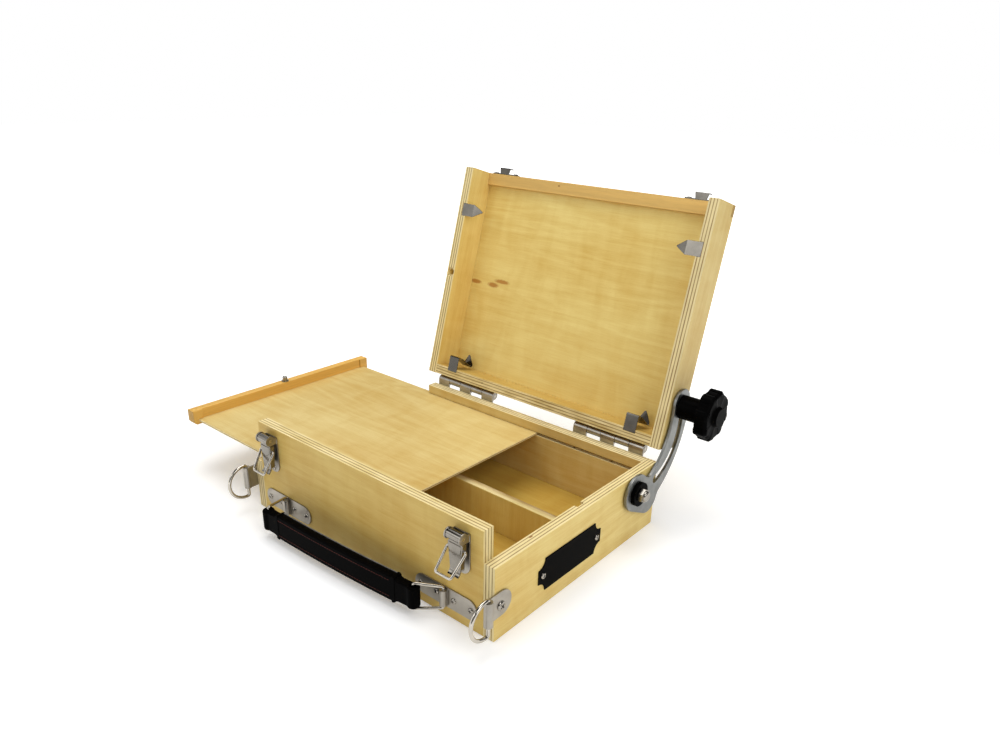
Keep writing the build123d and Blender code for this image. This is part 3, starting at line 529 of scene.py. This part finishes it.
def plywood(name, board, settings):
    """Birch plywood: a veneered face, and the plies in stripes along its edges."""
    recipe = Recipe(name)
    place, parts, facing = board_coordinates(recipe, board)
    face, fibre = birch_face(recipe, place, board, settings)
    wander = recipe.noise(place, (12.0, 12.0, 12.0), 2.0)
    depth = recipe.calc("DIVIDE", parts.outputs["Z"], board.thickness)
    depth = recipe.calc("ADD", depth, recipe.calc("MULTIPLY_ADD", wander, 0.02, -0.01))
    # Odd plies show long grain and stay pale; even ones show end grain.
    step = 1.0 / board.plies
    stops = [(0.0, 0.0)]
    for ply in range(1, board.plies, 2):
        low = (ply + 0.18) * step
        high = (ply + 0.78) * step
        stops += [(low - 0.01, 0.0), (low + 0.01, 1.0), (high - 0.014, 0.8), (high + 0.014, 0.0)]
    dark = recipe.ramp(depth, *stops)
    # The end grain is patchy along the board.
    patches = recipe.noise(place, (35.0, 35.0, 300.0), 2.0)
    flecks = recipe.noise(place, (700.0, 700.0, 2500.0), 2.0)
    dark = recipe.calc("MULTIPLY", dark, recipe.calc("MULTIPLY_ADD", flecks, 0.5, 0.6))
    dark = recipe.calc("MULTIPLY", dark, recipe.calc("MULTIPLY_ADD", patches, 1.1, 0.5))
    light = recipe.mix(
        recipe.ramp(patches, (0.35, 0.0), (0.7, 1.0)),
        rgba(settings.ply_light),
        rgba(settings.ply_light, 0.82, board.tone),
    )
    edge = recipe.mix(dark, light, rgba(settings.ply_dark))
    through = recipe.calc("ABSOLUTE", facing.outputs["Z"])
    on_edge = recipe.calc("LESS_THAN", through, FACING_SHARE)
    colour = marked(recipe, place, board, recipe.mix(on_edge, face, edge))
    roughness = recipe.calc("MULTIPLY_ADD", fibre, 0.18, 0.40)
    roughness = recipe.calc("MULTIPLY_ADD", on_edge, 0.15, roughness)
    recipe.bump(fibre, 0.3, 0.06 * MM)
    return recipe.finish(Base_Color=colour, Roughness=roughness, Specular_IOR_Level=0.25)


def solid_wood(name, board, settings):
    """Planed solid wood: straight streaks along the grain, rings on its ends."""
    recipe = Recipe(name)
    place, _, facing = board_coordinates(recipe, board)
    streaks = recipe.noise(place, (3.0, 130.0, 130.0), 3.0, 0.3)
    fibre = recipe.noise(place, (60.0, 1300.0, 1300.0), 2.0)
    share = recipe.ramp(streaks, (0.35, 0.0), (0.7, 0.6))
    share = recipe.calc("MULTIPLY_ADD", recipe.ramp(fibre, (0.4, 0.0), (0.75, 1.0)), 0.25, share)
    light = rgba(settings.softwood, 1.08, board.tone)
    dark = rgba(settings.softwood, 0.74, board.tone)
    side = recipe.mix(share, light, dark)
    endways = recipe.calc("ABSOLUTE", facing.outputs["X"])
    on_end = recipe.calc("GREATER_THAN", endways, FACING_SHARE)
    end = recipe.mix(
        share,
        rgba(settings.softwood, 0.75, board.tone),
        rgba(settings.softwood, 0.45, board.tone),
    )
    recipe.bump(fibre, 0.25, 0.05 * MM)
    return recipe.finish(
        Base_Color=marked(recipe, place, board, recipe.mix(on_end, side, end)),
        Roughness=recipe.calc("MULTIPLY_ADD", fibre, 0.2, 0.42),
        Specular_IOR_Level=0.25,
    )


def plated_metal(name, colour, roughness, brushed=0.0):
    """Plated steel: a clean colour with faint smears in its polish."""
    recipe = Recipe(name)
    source = recipe.add("ShaderNodeTexCoord").outputs["Object"]
    smear = recipe.noise(source, (90.0, 90.0, 90.0), 3.0)
    grain = recipe.noise(source, (1600.0, 1600.0, 1600.0), 2.0)
    level = recipe.calc("MULTIPLY_ADD", smear, 0.14, roughness - 0.05)
    level = recipe.calc("MULTIPLY_ADD", grain, 0.05 + brushed, level)
    tint = recipe.mix(
        recipe.ramp(smear, (0.35, 0.0), (0.75, 1.0)), rgba(colour, 1.08), rgba(colour, 0.80)
    )
    recipe.bump(grain, 0.08 + brushed, 0.012 * MM)
    return recipe.finish(Base_Color=tint, Roughness=level, Metallic=1.0)


BLACK = (0.0012, 0.0011, 0.0011)


def black_surface(name, grain_scale, depth, roughness, gloss=0.012, colour=BLACK):
    """A black surface: a fine grain pressed into it and a little dust."""
    recipe = Recipe(name)
    source = recipe.add("ShaderNodeTexCoord").outputs["Object"]
    grain = recipe.noise(source, (grain_scale, grain_scale, grain_scale), 3.0)
    dust = recipe.noise(source, (60.0, 60.0, 60.0), 3.0)
    recipe.bump(grain, 0.4, depth)
    tint = recipe.mix(recipe.ramp(dust, (0.45, 0.0), (0.8, 1.0)), rgba(colour), rgba(colour, 1.8))
    return recipe.finish(
        Base_Color=tint,
        Roughness=recipe.calc("MULTIPLY_ADD", dust, 0.15, roughness),
        Specular_IOR_Level=gloss,
    )


def wear(piece, material):
    """Gives the piece one material."""
    piece.data.materials.clear()
    piece.data.materials.append(material)
    for polygon in piece.data.polygons:
        polygon.material_index = 0


# -------------------------------------------------------------------- boards
X, Y, Z = (1, 0, 0), (0, 1, 0), (0, 0, 1)
KNOT = (0.50, 0.24, 0.05)
NAIL_HOLE = (0.10, 0.05, 0.02)
FILLER = (0.30, 0.15, 0.04)
# Marks: place along, across and through the board, length, width and colour.
KNOTS = (
    (-149, 5.7, 0, 10.5, 3.0, KNOT),
    (-120.3, 5.6, 0, 9.5, 3.4, KNOT),
    (-107, -0.5, 0, 13.0, 2.8, KNOT),
)
# Each board's toning is partly its own colour and partly painted light and shade: boards that stand
# in shade, such as the front panel, the tray floor and the lid's rear rail, are darkened, and lit
# ones, such as the right wall and the lid's back panel, are lightened.
PLYWOOD = {
    "floor_panel": Board(X, Z, 0, 4, plies=3, tone=(0.76, 0.66, 0.33)),
    "front_panel": Board(X, Y, -127.5, 12, tone=(0.98, 0.93, 0.72)),
    "rear_wall": Board(X, Y, 115.5, 12),
    "left_wall": Board(Y, X, -167.5, 12),
    "right_wall": Board(
        Y, X, 155.5, 12, tone=(1.1, 1.1, 1.0), marks=((-71, 73, 3.5, 3.0, 1.0, FILLER),)
    ),
    "tray_divider": Board(Z, Y, -2.7, 9.4, plies=1, tone=(1.0, 1.0, 0.78)),
    "lid_left_side": Board(Y, X, -167.5, 12, lid=True, tone=(1.18, 1.18, 1.05)),
    "lid_right_side": Board(Y, X, 155.5, 12, lid=True),
    "lid_rear_rail": Board(
        X,
        Y,
        115.5,
        11.7,
        lid=True,
        tone=(0.80, 0.73, 0.52),
        marks=((-78, -73, 5.3, 0.9, 0.9, NAIL_HOLE),),
    ),
    "lid_back_panel": Board(
        X, Z, 109, 3, lid=True, plies=3, tone=(1.15, 1.18, 1.05), marks=KNOTS
    ),
    "palette_board": Board(X, Z, 59, 3, plies=3, tone=(0.94, 0.95, 0.97)),
}
SOLID = {
    "lid_front_rail": Board(
        X, Z, 103, 9, lid=True, marks=((-47.3, -122.7, 0.5, 1.8, 1.1, FILLER),)
    ),
    "palette_lip": Board(Y, X, -300.5, 12, tone=(1.1, 1.0, 0.75)),
}


# The front panel's ends have a step of 0.4 mm, and the bails pass close beside the
# levers' hooks, so these pieces are eased by a smaller share.
EASED_LESS = ("front_panel", "latch_lever_left", "latch_lever_right")
LESSER_SHARE = 0.4
# Shorter edges stay sharp, on boards and on hardware.
BOARD_SHORTEST = 3 * MM
METAL_SHORTEST = 0.6 * MM


def easing_of(node, easing):
    """How far the edges of this node are eased."""
    if node in EASED_LESS:
        easing *= LESSER_SHARE
    return easing


class PlywoodBoards(bpy.types.Operator):
    """Eases the edges of the plywood boards and finishes them in birch"""

    bl_idname = "pochade.plywood_boards"
    bl_label = "Plywood boards"

    def execute(self, context):
        settings = context.scene.pochade_wood
        for node, board in PLYWOOD.items():
            easing = easing_of(node, settings.easing)
            piece = eased_copy(node, node + "_eased", easing, BOARD_SHORTEST)
            wear(piece, plywood("birch_" + node, board, settings))
        return {"FINISHED"}


class SolidBoards(bpy.types.Operator):
    """Eases the edges of the solid wood pieces and finishes them"""

    bl_idname = "pochade.solid_boards"
    bl_label = "Solid wood pieces"

    def execute(self, context):
        settings = context.scene.pochade_wood
        for node, board in SOLID.items():
            piece = eased_copy(node, node + "_eased", settings.easing, BOARD_SHORTEST)
            wear(piece, solid_wood("wood_" + node, board, settings))
        return {"FINISHED"}


# ------------------------------------------------------------------ hardware
# Each finish: its shade of the nickel colour and its roughness. The darker shades are painted
# shade: the levers, the keepers and the rail clips are darkened to stand in for the dark
# reflections they show.
NICKEL_FINISHES_AND_SHADES = {
    "satin_nickel": (0.85, 0.27),
    "polished_nickel": (0.6, 0.13),
    "bright_nickel": (1.25, 0.10),
    "dark_nickel": (0.28, 0.14),
    "spring_steel": (0.5, 0.12),
    "screw_nickel": (0.8, 0.14),
    "bolt_nickel": (0.8, 0.24),
}
# The levers and the keepers take darker shades that are painted reflections of dark surroundings.
NICKEL_PRESSED = {
    "hinge_base_leaves": "satin_nickel",
    "hinge_lid_leaves": "satin_nickel",
    "latch_plates": "satin_nickel",
    "latch_lever_left": "polished_nickel",
    "latch_lever_right": "polished_nickel",
    "latch_keepers": "dark_nickel",
    "handle_brackets": "satin_nickel",
    "ring_straps": "satin_nickel",
}
NICKEL_WIRE = (
    "hinge_pins",
    "latch_pins",
    "latch_bail_left",
    "latch_bail_right",
    "handle_link_left",
    "handle_link_right",
    "carry_ring_left",
    "carry_ring_right",
)
# The rail clips take the same painted dark shade as the keepers.
PANEL_CLIPS = {"panel_clips_side": "spring_steel", "panel_clips_rail": "dark_nickel"}
CLIP_EASING = 0.15 * MM


def nickel_finish_and_shade(name, settings):
    """One of the nickel finishes and its shade, painted shade for some, as a material."""
    shade, roughness = NICKEL_FINISHES_AND_SHADES[name]
    return plated_metal(name, [c * shade for c in settings.nickel], roughness)


class NickelHardware(bpy.types.Operator):
    """Rounds the pressed nickel hardware and finishes it with the wire parts"""

    bl_idname = "pochade.nickel_hardware"
    bl_label = "Nickel hardware"

    def execute(self, context):
        settings = context.scene.pochade_metal
        bright = nickel_finish_and_shade("bright_nickel", settings)
        worn = (*NICKEL_PRESSED.values(), *PANEL_CLIPS.values())
        finishes = {name: nickel_finish_and_shade(name, settings) for name in dict.fromkeys(worn)}
        for node, finish in NICKEL_PRESSED.items():
            easing = easing_of(node, settings.easing)
            piece = eased_copy(node, node + "_rounded", easing, METAL_SHORTEST)
            wear(piece, finishes[finish])
        for node in NICKEL_WIRE:
            wear(frame["nodes"][node], bright)
        for node, finish in PANEL_CLIPS.items():
            piece = eased_copy(node, node + "_rounded", CLIP_EASING, METAL_SHORTEST)
            wear(piece, finishes[finish])
        return {"FINISHED"}


SHANK_RADIUS = 1.35 * MM
SHANK_LENGTH = 5 * MM
POINT_LENGTH = 1.3 * MM
# A domed head's rings: how far each rises, as a share of the height, and its scale.
DOME = ((0.35, 0.97), (0.35, 0.85), (0.22, 0.62), (0.08, 0.4))
# The cross's arms, as shares of the head's radius.
SLOT_LENGTH = 1.25
SLOT_WIDTH = 0.26
BACKWARD = Vector((0, 1, 0))
FORWARD = Vector((0, -1, 0))
RIGHTWARD = Vector((1, 0, 0))
# Turns a direction on the shut lid to the same one on the open lid.
OPENED_LID = Matrix.Rotation(-LID_OPEN, 3, "X")
# For each node of screws: the way they face, and their heads' radius and height.
SCREWS = {
    "hinge_base_screws": (BACKWARD, 2.75, 0),
    "hinge_lid_screws": (OPENED_LID @ BACKWARD, 2.75, 0),
    "latch_screws": (FORWARD, 3.2, 1.6),
    "keeper_screws": (OPENED_LID @ FORWARD, 2.8, 1.4),
    "handle_bracket_screws": (FORWARD, 3.0, 1.5),
    "ring_strap_screws": (RIGHTWARD, 4.6, 2.0),
    "name_plate_screws": (RIGHTWARD, 3.0, 1.5),
}


class CrossScrews(bpy.types.Operator):
    """Makes each kind of screw with a cross cut in its head and sets its copies"""

    bl_idname = "pochade.cross_screws"
    bl_label = "Cross-headed screws"

    def execute(self, context):
        nickel = nickel_finish_and_shade("screw_nickel", context.scene.pochade_metal)
        for number, (node, (outward, radius, height)) in enumerate(SCREWS.items()):
            model = self.make_screw(radius * MM, height * MM)
            copies = []
            for top, facing in self.find_tops(node, outward):
                seat = top - facing * height * MM
                spin = 0.4 + 1.1 * (len(copies) + number)
                copies.append(placed_copy(model, seat, facing, spin))
            discard([model])
            screws = joined(copies, node + "_crossed")
            settle(screws, 40)
            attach(screws, BODY_OF[node])
            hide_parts(node)
            wear(screws, nickel)
        return {"FINISHED"}

    def find_tops(self, node, outward):
        """The middle of each screw's head in the node, and the way it faces."""
        open_copy(node)
        bpy.ops.mesh.separate(type="LOOSE")
        bpy.ops.object.mode_set(mode="OBJECT")
        parts = list(bpy.context.selected_objects)
        found = []
        for part in sorted(parts, key=lambda part: part.data.vertices[0].co.x):
            points = [vertex.co for vertex in part.data.vertices]
            middle = sum(points, Vector()) / len(points)
            facing = outward
            # The strap rings are screwed to both sides of the box.
            if outward == RIGHTWARD and middle.x < 0:
                facing = -outward
            reach = max((point - middle).dot(facing) for point in points)
            found.append((middle + facing * reach, facing))
        discard(parts)
        return found

    def make_screw(self, radius, height):
        """A head standing on Z = 0, or flush with it, on a pointed shank."""
        bpy.ops.object.select_all(action="DESELECT")
        bpy.ops.mesh.primitive_circle_add(vertices=20, radius=radius, fill_type="NGON")
        screw = bpy.context.active_object
        bpy.ops.object.mode_set(mode="EDIT")
        bpy.ops.mesh.select_all(action="SELECT")
        if height:
            for rise, share in DOME:
                self.raise_ring(rise * height, share)
            select_faces(screw, lambda middle, normal: middle.z < 0.01 * MM and abs(normal.z) > 0.9)
            bpy.ops.mesh.inset(thickness=radius - SHANK_RADIUS)
        else:
            self.raise_ring(SHANK_RADIUS - radius, SHANK_RADIUS / radius)
        self.raise_ring(-SHANK_LENGTH, 0.9)
        self.raise_ring(-POINT_LENGTH, 0.3)
        bpy.ops.mesh.select_all(action="SELECT")
        bpy.ops.mesh.normals_make_consistent(inside=False)
        bpy.ops.object.mode_set(mode="OBJECT")
        slot_depth = 0.55 * max(height, 0.9 * MM)
        for turn in (0, 90):
            self.cut_slot(screw, height - slot_depth, radius, turn)
        return screw

    def raise_ring(self, rise, share):
        """Extrudes the chosen face by a rise and scales it by a share."""
        bpy.ops.mesh.extrude_region_move(TRANSFORM_OT_translate={"value": (0, 0, rise)})
        bpy.ops.transform.resize(value=(share, share, 1))

    def cut_slot(self, screw, floor, radius, turn):
        """Cuts one arm of the cross into the head, narrowing downwards."""
        bpy.ops.object.select_all(action="DESELECT")
        bpy.ops.mesh.primitive_cube_add(size=1, location=(0, 0, 0.5))
        cutter = bpy.context.active_object
        bpy.ops.object.mode_set(mode="EDIT")
        select_faces(cutter, lambda middle, normal: normal.z < -0.5)
        bpy.ops.transform.resize(value=(0.6, 0.6, 1))
        bpy.ops.object.mode_set(mode="OBJECT")
        cutter.scale = (SLOT_LENGTH * radius, SLOT_WIDTH * radius, 3 * MM)
        cutter.rotation_euler.z = math.radians(turn)
        cutter.location.z = floor
        bpy.ops.object.transform_apply(location=True, rotation=True, scale=True)
        apply_modifier(screw, "BOOLEAN", object=cutter, operation="DIFFERENCE")
        discard([cutter])


BRASS = (0.62, 0.43, 0.17)


class LidArm(bpy.types.Operator):
    """Rounds the slotted lid arm, its bolt and its washers and finishes them"""

    bl_idname = "pochade.lid_arm"
    bl_label = "Lid arm"

    def execute(self, context):
        settings = context.scene.pochade_metal
        zinc = plated_metal("zinc_plate", settings.zinc, 0.34, 0.12)
        nickel = nickel_finish_and_shade("bolt_nickel", settings)
        brass = plated_metal("insert_brass", BRASS, 0.30)
        for node in ("support_arm", "arm_bolt", "arm_bolt_nut"):
            piece = eased_copy(node, node + "_rounded", 0.4 * MM, 0.7 * MM)
            wear(piece, zinc if node == "support_arm" else nickel)
        plastic = black_surface("washer_plastic", 1500.0, 0.03 * MM, 0.38)
        piece = eased_copy("arm_washers", "arm_washers_rounded", 0.5 * MM, 1.0 * MM)
        wear(piece, plastic)
        for node in ("stud_insert", "clamp_stud", "lock_stud"):
            wear(frame["nodes"][node], brass if node == "stud_insert" else nickel)
        return {"FINISHED"}


class ClampKnob(bpy.types.Operator):
    """Rounds the lobed clamp knob"""

    bl_idname = "pochade.clamp_knob"
    bl_label = "Clamp knob"

    def execute(self, context):
        piece = eased_copy("clamp_knob", "clamp_knob_rounded", 0.9 * MM, 0.8 * MM, 25, 60)
        wear(piece, black_surface("knob_plastic", 1500.0, 0.04 * MM, 0.30))
        return {"FINISHED"}


# The grip's eyes, its bow and its thickness.
GRIP_LEFT = Vector((-106.07, -156.11, 20.5)) * MM
GRIP_RIGHT = Vector((92.01, -146.61, 20.5)) * MM
GRIP_BOW = 2.5 * MM
GRIP_THICKNESS = 9.0 * MM
GRIP_HEIGHT = 26.0 * MM
GRIP_SPAN = (GRIP_RIGHT - GRIP_LEFT).length
GRIP_ALONG = (GRIP_RIGHT - GRIP_LEFT).normalized()
# How far from the eyes the stitches and the piping end.
GRIP_MARGIN = 21.0 * MM
BAND_WIDTH = 3 * MM
BAND_RISE = 0.5 * MM
STITCH_RADIUS = 0.35 * MM
STITCH_END = 0.25 * MM
PIPING_RADIUS = 0.8 * MM
PIPING_STEPS = 16
# The piping's pale grey is a painted highlight along the grip's upper edge.
PIPING_PAINTED_HIGHLIGHT = (0.11, 0.105, 0.095)
DARK_THREAD = (0.06, 0.012, 0.008)


class HandleGrip(bpy.types.Operator):
    """The leather grip with two rows of stitches along its outer face"""

    bl_idname = "pochade.handle_grip"
    bl_label = "Handle grip"

    def execute(self, context):
        settings = context.scene.pochade_grip
        bands = self.fold_bands()
        piece = eased_copy("handle_grip", "handle_grip_leather", 1.4 * MM, 0.8 * MM, 30, 60)
        leather = black_surface("grip_leather", 900.0, 0.12 * MM, 0.42)
        wear(piece, leather)
        thread = black_surface("grip_thread", 3000.0, 0.05 * MM, 0.5, 0.2, DARK_THREAD)
        # The piping is coloured pale grey as a painted highlight along the upper edge.
        cord = black_surface("grip_piping", 900.0, 0.03 * MM, 0.28, 0.6, PIPING_PAINTED_HIGHLIGHT)
        stitches = self.sew(settings)
        piping = self.lay_piping()
        for trim, material in ((bands, leather), (stitches, thread), (piping, cord)):
            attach(trim, BODY_OF["handle_grip"])
            wear(trim, material)
        return {"FINISHED"}

    def fold_bands(self):
        """The leather's folded ends: a raised band where each end of the grip narrows.

        They are cut from the node before it is replaced, because it is hidden then.
        """
        bands = []
        for reach in (GRIP_MARGIN - BAND_WIDTH, GRIP_SPAN - GRIP_MARGIN):
            band = open_copy("handle_grip")
            bpy.ops.mesh.normals_make_consistent(inside=False)
            for place, facing in ((reach, -GRIP_ALONG), (reach + BAND_WIDTH, GRIP_ALONG)):
                bpy.ops.mesh.select_all(action="SELECT")
                bpy.ops.mesh.bisect(
                    plane_co=GRIP_LEFT + GRIP_ALONG * place,
                    plane_no=facing,
                    use_fill=True,
                    clear_outer=True,
                )
            bpy.ops.mesh.select_all(action="SELECT")
            bpy.ops.mesh.normals_make_consistent(inside=False)
            bpy.ops.transform.shrink_fatten(value=BAND_RISE)
            bpy.ops.mesh.customdata_custom_splitnormals_clear()
            bpy.ops.object.mode_set(mode="OBJECT")
            bands.append(band)
        whole = joined(bands, "grip_bands")
        settle(whole, 40)
        return whole

    def edge_point(self, reach, side, level):
        """A point so far along the grip, on its outer (1) or inner (-1) face."""
        outward = GRIP_ALONG.cross(Vector((0, 0, 1)))
        share = 2 * reach / GRIP_SPAN - 1
        bow = GRIP_BOW * (1 - share * share) + side * GRIP_THICKNESS / 2
        return GRIP_LEFT + GRIP_ALONG * reach + outward * bow + Vector((0, 0, level))

    def sew(self, settings):
        """Two rows of stitches along the grip's bowed outer face."""
        count = int((GRIP_SPAN - 2 * GRIP_MARGIN) / settings.stitch_pitch)
        model = self.make_stitch(settings.stitch_pitch)
        copies = []
        for row in (-settings.stitch_row, settings.stitch_row):
            for number in range(count):
                reach = GRIP_MARGIN + (number + 0.5) * settings.stitch_pitch
                place = self.edge_point(reach, 1, row)
                copies.append(placed_copy(model, place, GRIP_ALONG, 0))
        discard([model])
        stitches = joined(copies, "grip_stitches")
        settle(stitches, 60)
        return stitches

    def lay_piping(self):
        """A bead along the grip's upper inner edge, extruded in short steps."""
        level = GRIP_HEIGHT / 2 - 0.5 * MM
        points = []
        for step in range(PIPING_STEPS + 1):
            reach = GRIP_MARGIN + (GRIP_SPAN - 2 * GRIP_MARGIN) * step / PIPING_STEPS
            points.append(self.edge_point(reach, -0.85, level))
        bpy.ops.object.select_all(action="DESELECT")
        bpy.ops.mesh.primitive_circle_add(vertices=8, radius=PIPING_RADIUS, fill_type="NGON")
        bead = bpy.context.active_object
        bead.name = "grip_piping"
        bead.rotation_euler = (points[1] - points[0]).to_track_quat("Z", "Y").to_euler()
        bead.location = points[0]
        bpy.ops.object.transform_apply(location=True, rotation=True, scale=True)
        bpy.ops.object.mode_set(mode="EDIT")
        bpy.ops.mesh.select_all(action="SELECT")
        for here, following in zip(points, points[1:]):
            bpy.ops.mesh.extrude_region_move(
                TRANSFORM_OT_translate={"value": following - here}
            )
        bpy.ops.mesh.select_all(action="SELECT")
        bpy.ops.mesh.normals_make_consistent(inside=False)
        bpy.ops.object.mode_set(mode="OBJECT")
        settle(bead, 50)
        return bead

    def make_stitch(self, pitch):
        """One stitch of thread along Z, rounded at its ends."""
        bpy.ops.object.select_all(action="DESELECT")
        bpy.ops.mesh.primitive_cylinder_add(
            vertices=8, radius=STITCH_RADIUS, depth=0.6 * pitch
        )
        stitch = bpy.context.active_object
        bpy.ops.object.mode_set(mode="EDIT")
        for side in (-1, 1):
            select_faces(stitch, lambda middle, normal: normal.z * side > 0.5)
            bpy.ops.mesh.extrude_region_move(
                TRANSFORM_OT_translate={"value": (0, 0, STITCH_END * side)}
            )
            bpy.ops.transform.resize(value=(0.5, 0.5, 1))
        bpy.ops.object.mode_set(mode="OBJECT")
        return stitch


class NamePlate(bpy.types.Operator):
    """The bare enamelled plate on the right wall"""

    bl_idname = "pochade.name_plate"
    bl_label = "Name plate"

    def execute(self, context):
        piece = eased_copy("name_plate", "name_plate_enamel", 0.2 * MM, METAL_SHORTEST)
        wear(piece, black_surface("plate_enamel", 500.0, 0.01 * MM, 0.30))
        return {"FINISHED"}


# --------------------------------------------------------------------- stage
def seen_white(recipe):
    """1 for the rays that see the white background, and 0 for those that light."""
    path = recipe.add("ShaderNodeLightPath")
    seen = recipe.calc("MAXIMUM", path.outputs["Is Camera Ray"], path.outputs["Is Glossy Ray"])
    return recipe.calc("MAXIMUM", seen, path.outputs["Is Transmission Ray"])


# Each lamp's place and size in metres, and the setting that holds its power.
LAMPS = {
    "key_lamp": ((1.5, -0.35, 1.35), 1.3, "key_power"),
    "top_lamp": ((-0.3, 0.25, 1.9), 1.6, "top_power"),
    "front_lamp": ((-0.7, -1.4, 1.25), 1.0, "front_power"),
}
LAMP_AIM = Vector((0, 0, 0.08))
FLOOR_SIZE = 12.0
# The dark cards stand at all places of a ring but one, the opening at the front left.
RING_PLACES = 7
RING_OPENING = math.radians(232)
RING_RADIUS = 2.0
CARD_SIZE = 1.5
CARD_HEIGHT = 0.78
OVERHEAD_SIZE = 5.0
OVERHEAD_HEIGHT = 2.4
CARD_BLACK = (0.01, 0.01, 0.01, 1.0)
SENSOR_WIDTH = 36.0
CAMERA_SHIFT = (-0.0163, 0.0316)


class Stage(bpy.types.Operator):
    """The floor, the dark cards, the lamps, the even fill and the camera"""

    bl_idname = "pochade.stage"
    bl_label = "Stage"

    def execute(self, context):
        settings = context.scene.pochade_stage
        self.make_floor(settings.floor_glow)
        self.make_cards()
        self.make_sky(context.scene, settings.sky)
        for name, (place, size, power) in LAMPS.items():
            self.make_lamp(name, place, size, getattr(settings, power))
        self.make_camera(context.scene, settings)
        context.scene.view_settings.view_transform = "Standard"
        return {"FINISHED"}

    def make_floor(self, floor_glow):
        """A floor that is plain white far from the box and shows its shadow near it."""
        recipe = Recipe("studio_floor")
        source = recipe.add("ShaderNodeTexCoord").outputs["Object"]
        away = recipe.add(
            "ShaderNodeVectorMath", {0: source}, operation="LENGTH"
        ).outputs["Value"]
        glow = recipe.calc("MULTIPLY", away, 0.5)
        glow = recipe.ramp(glow, (0.20, floor_glow), (0.45, 1.0))
        white = recipe.finish(
            Base_Color=(0.92, 0.92, 0.92, 1.0),
            Roughness=0.9,
            Specular_IOR_Level=0.0,
            Emission_Color=(1.0, 1.0, 1.0, 1.0),
            Emission_Strength=recipe.calc("MULTIPLY", seen_white(recipe), glow),
        )
        self.add_plane("studio_floor", FLOOR_SIZE, (0, 0, -0.2 * MM), white)

    def add_plane(self, name, size, place, material):
        """A square plane of the stage, lying flat."""
        bpy.ops.object.select_all(action="DESELECT")
        bpy.ops.mesh.primitive_plane_add(size=size, location=place)
        plane = bpy.context.active_object
        plane.name = name
        plane.data.materials.append(material)
        return plane

    def make_cards(self):
        """Dark cards that only reflections see, for the bands in bright metal."""
        black = Recipe("dark_card").finish(Base_Color=CARD_BLACK, Specular_IOR_Level=0.0)
        cards = []
        for number in range(1, RING_PLACES):
            turn = RING_OPENING + 2 * math.pi * number / RING_PLACES
            place = (RING_RADIUS * math.cos(turn), RING_RADIUS * math.sin(turn), CARD_HEIGHT)
            card = self.add_plane(f"dark_card_{number + 1}", CARD_SIZE, place, black)
            card.rotation_euler = (math.radians(90), 0, turn + math.radians(90))
            cards.append(card)
        overhead = (0, 0, OVERHEAD_HEIGHT)
        name = f"dark_card_{RING_PLACES + 1}"
        cards.append(self.add_plane(name, OVERHEAD_SIZE, overhead, black))
        for card in cards:
            card.visible_camera = False
            card.visible_diffuse = False
            card.visible_shadow = False
            card.visible_transmission = False

    def make_sky(self, scene, strength):
        """An even fill from all sides that looks plain white."""
        recipe = Recipe("studio", "worlds", "Background")
        level = recipe.add(
            "ShaderNodeMapRange", {"Value": seen_white(recipe), "To Min": strength, "To Max": 1.0}
        ).outputs[0]
        scene.world = recipe.finish(Color=(1, 1, 1, 1), Strength=level)

    def make_lamp(self, name, place, size, power):
        """A soft round lamp that looks at the box."""
        bpy.ops.object.light_add(type="AREA", location=place)
        lamp = bpy.context.active_object
        lamp.name = name
        lamp.data.shape = "DISK"
        lamp.data.size = size
        lamp.data.energy = power
        lamp.visible_camera = False
        aim = LAMP_AIM - Vector(place)
        lamp.rotation_euler = aim.to_track_quat("-Z", "Y").to_euler()

    def make_camera(self, scene, settings):
        """The camera at the photograph's angle."""
        data = bpy.data.cameras.new("photo_camera")
        camera = bpy.data.objects.new("photo_camera", data)
        scene.collection.objects.link(camera)
        camera.location = settings.camera_place
        camera.rotation_euler = settings.camera_turn
        data.lens = settings.focal_length
        data.sensor_width = SENSOR_WIDTH
        data.shift_x, data.shift_y = CAMERA_SHIFT
        data.clip_start = 0.01
        scene.camera = camera


# ----------------------------------------------------------- add-on and run
class PochadePanel(bpy.types.Panel):
    """Lists the box's pieces in the sidebar of the 3D view"""

    bl_idname = "VIEW3D_PT_pochade_box"
    bl_label = "Pochade Box"
    bl_space_type = "VIEW_3D"
    bl_region_type = "UI"
    bl_category = "Pochade Box"

    def draw(self, context):
        """One button for each piece."""
        for operator in PIECES:
            self.layout.operator(operator.bl_idname)


PIECES = (
    PlywoodBoards,
    SolidBoards,
    NickelHardware,
    CrossScrews,
    LidArm,
    ClampKnob,
    HandleGrip,
    NamePlate,
    Stage,
)
SETTINGS = {
    "pochade_wood": WoodSettings,
    "pochade_metal": MetalSettings,
    "pochade_grip": GripSettings,
    "pochade_stage": StageSettings,
}


def register():
    """Adds the settings, the operators and the panel."""
    for group in (*SETTINGS.values(), *PIECES, PochadePanel):
        bpy.utils.register_class(group)
    for name, group in SETTINGS.items():
        setattr(bpy.types.Scene, name, PointerProperty(type=group))


def unregister():
    """Takes them away again."""
    for name in SETTINGS:
        delattr(bpy.types.Scene, name)
    for group in reversed((*SETTINGS.values(), *PIECES, PochadePanel)):
        bpy.utils.unregister_class(group)


def main():
    """Registers the add-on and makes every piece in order."""
    register()
    for operator in PIECES:
        getattr(bpy.ops.pochade, operator.bl_idname.split(".")[1])()


if __name__ == "__main__":
    main()
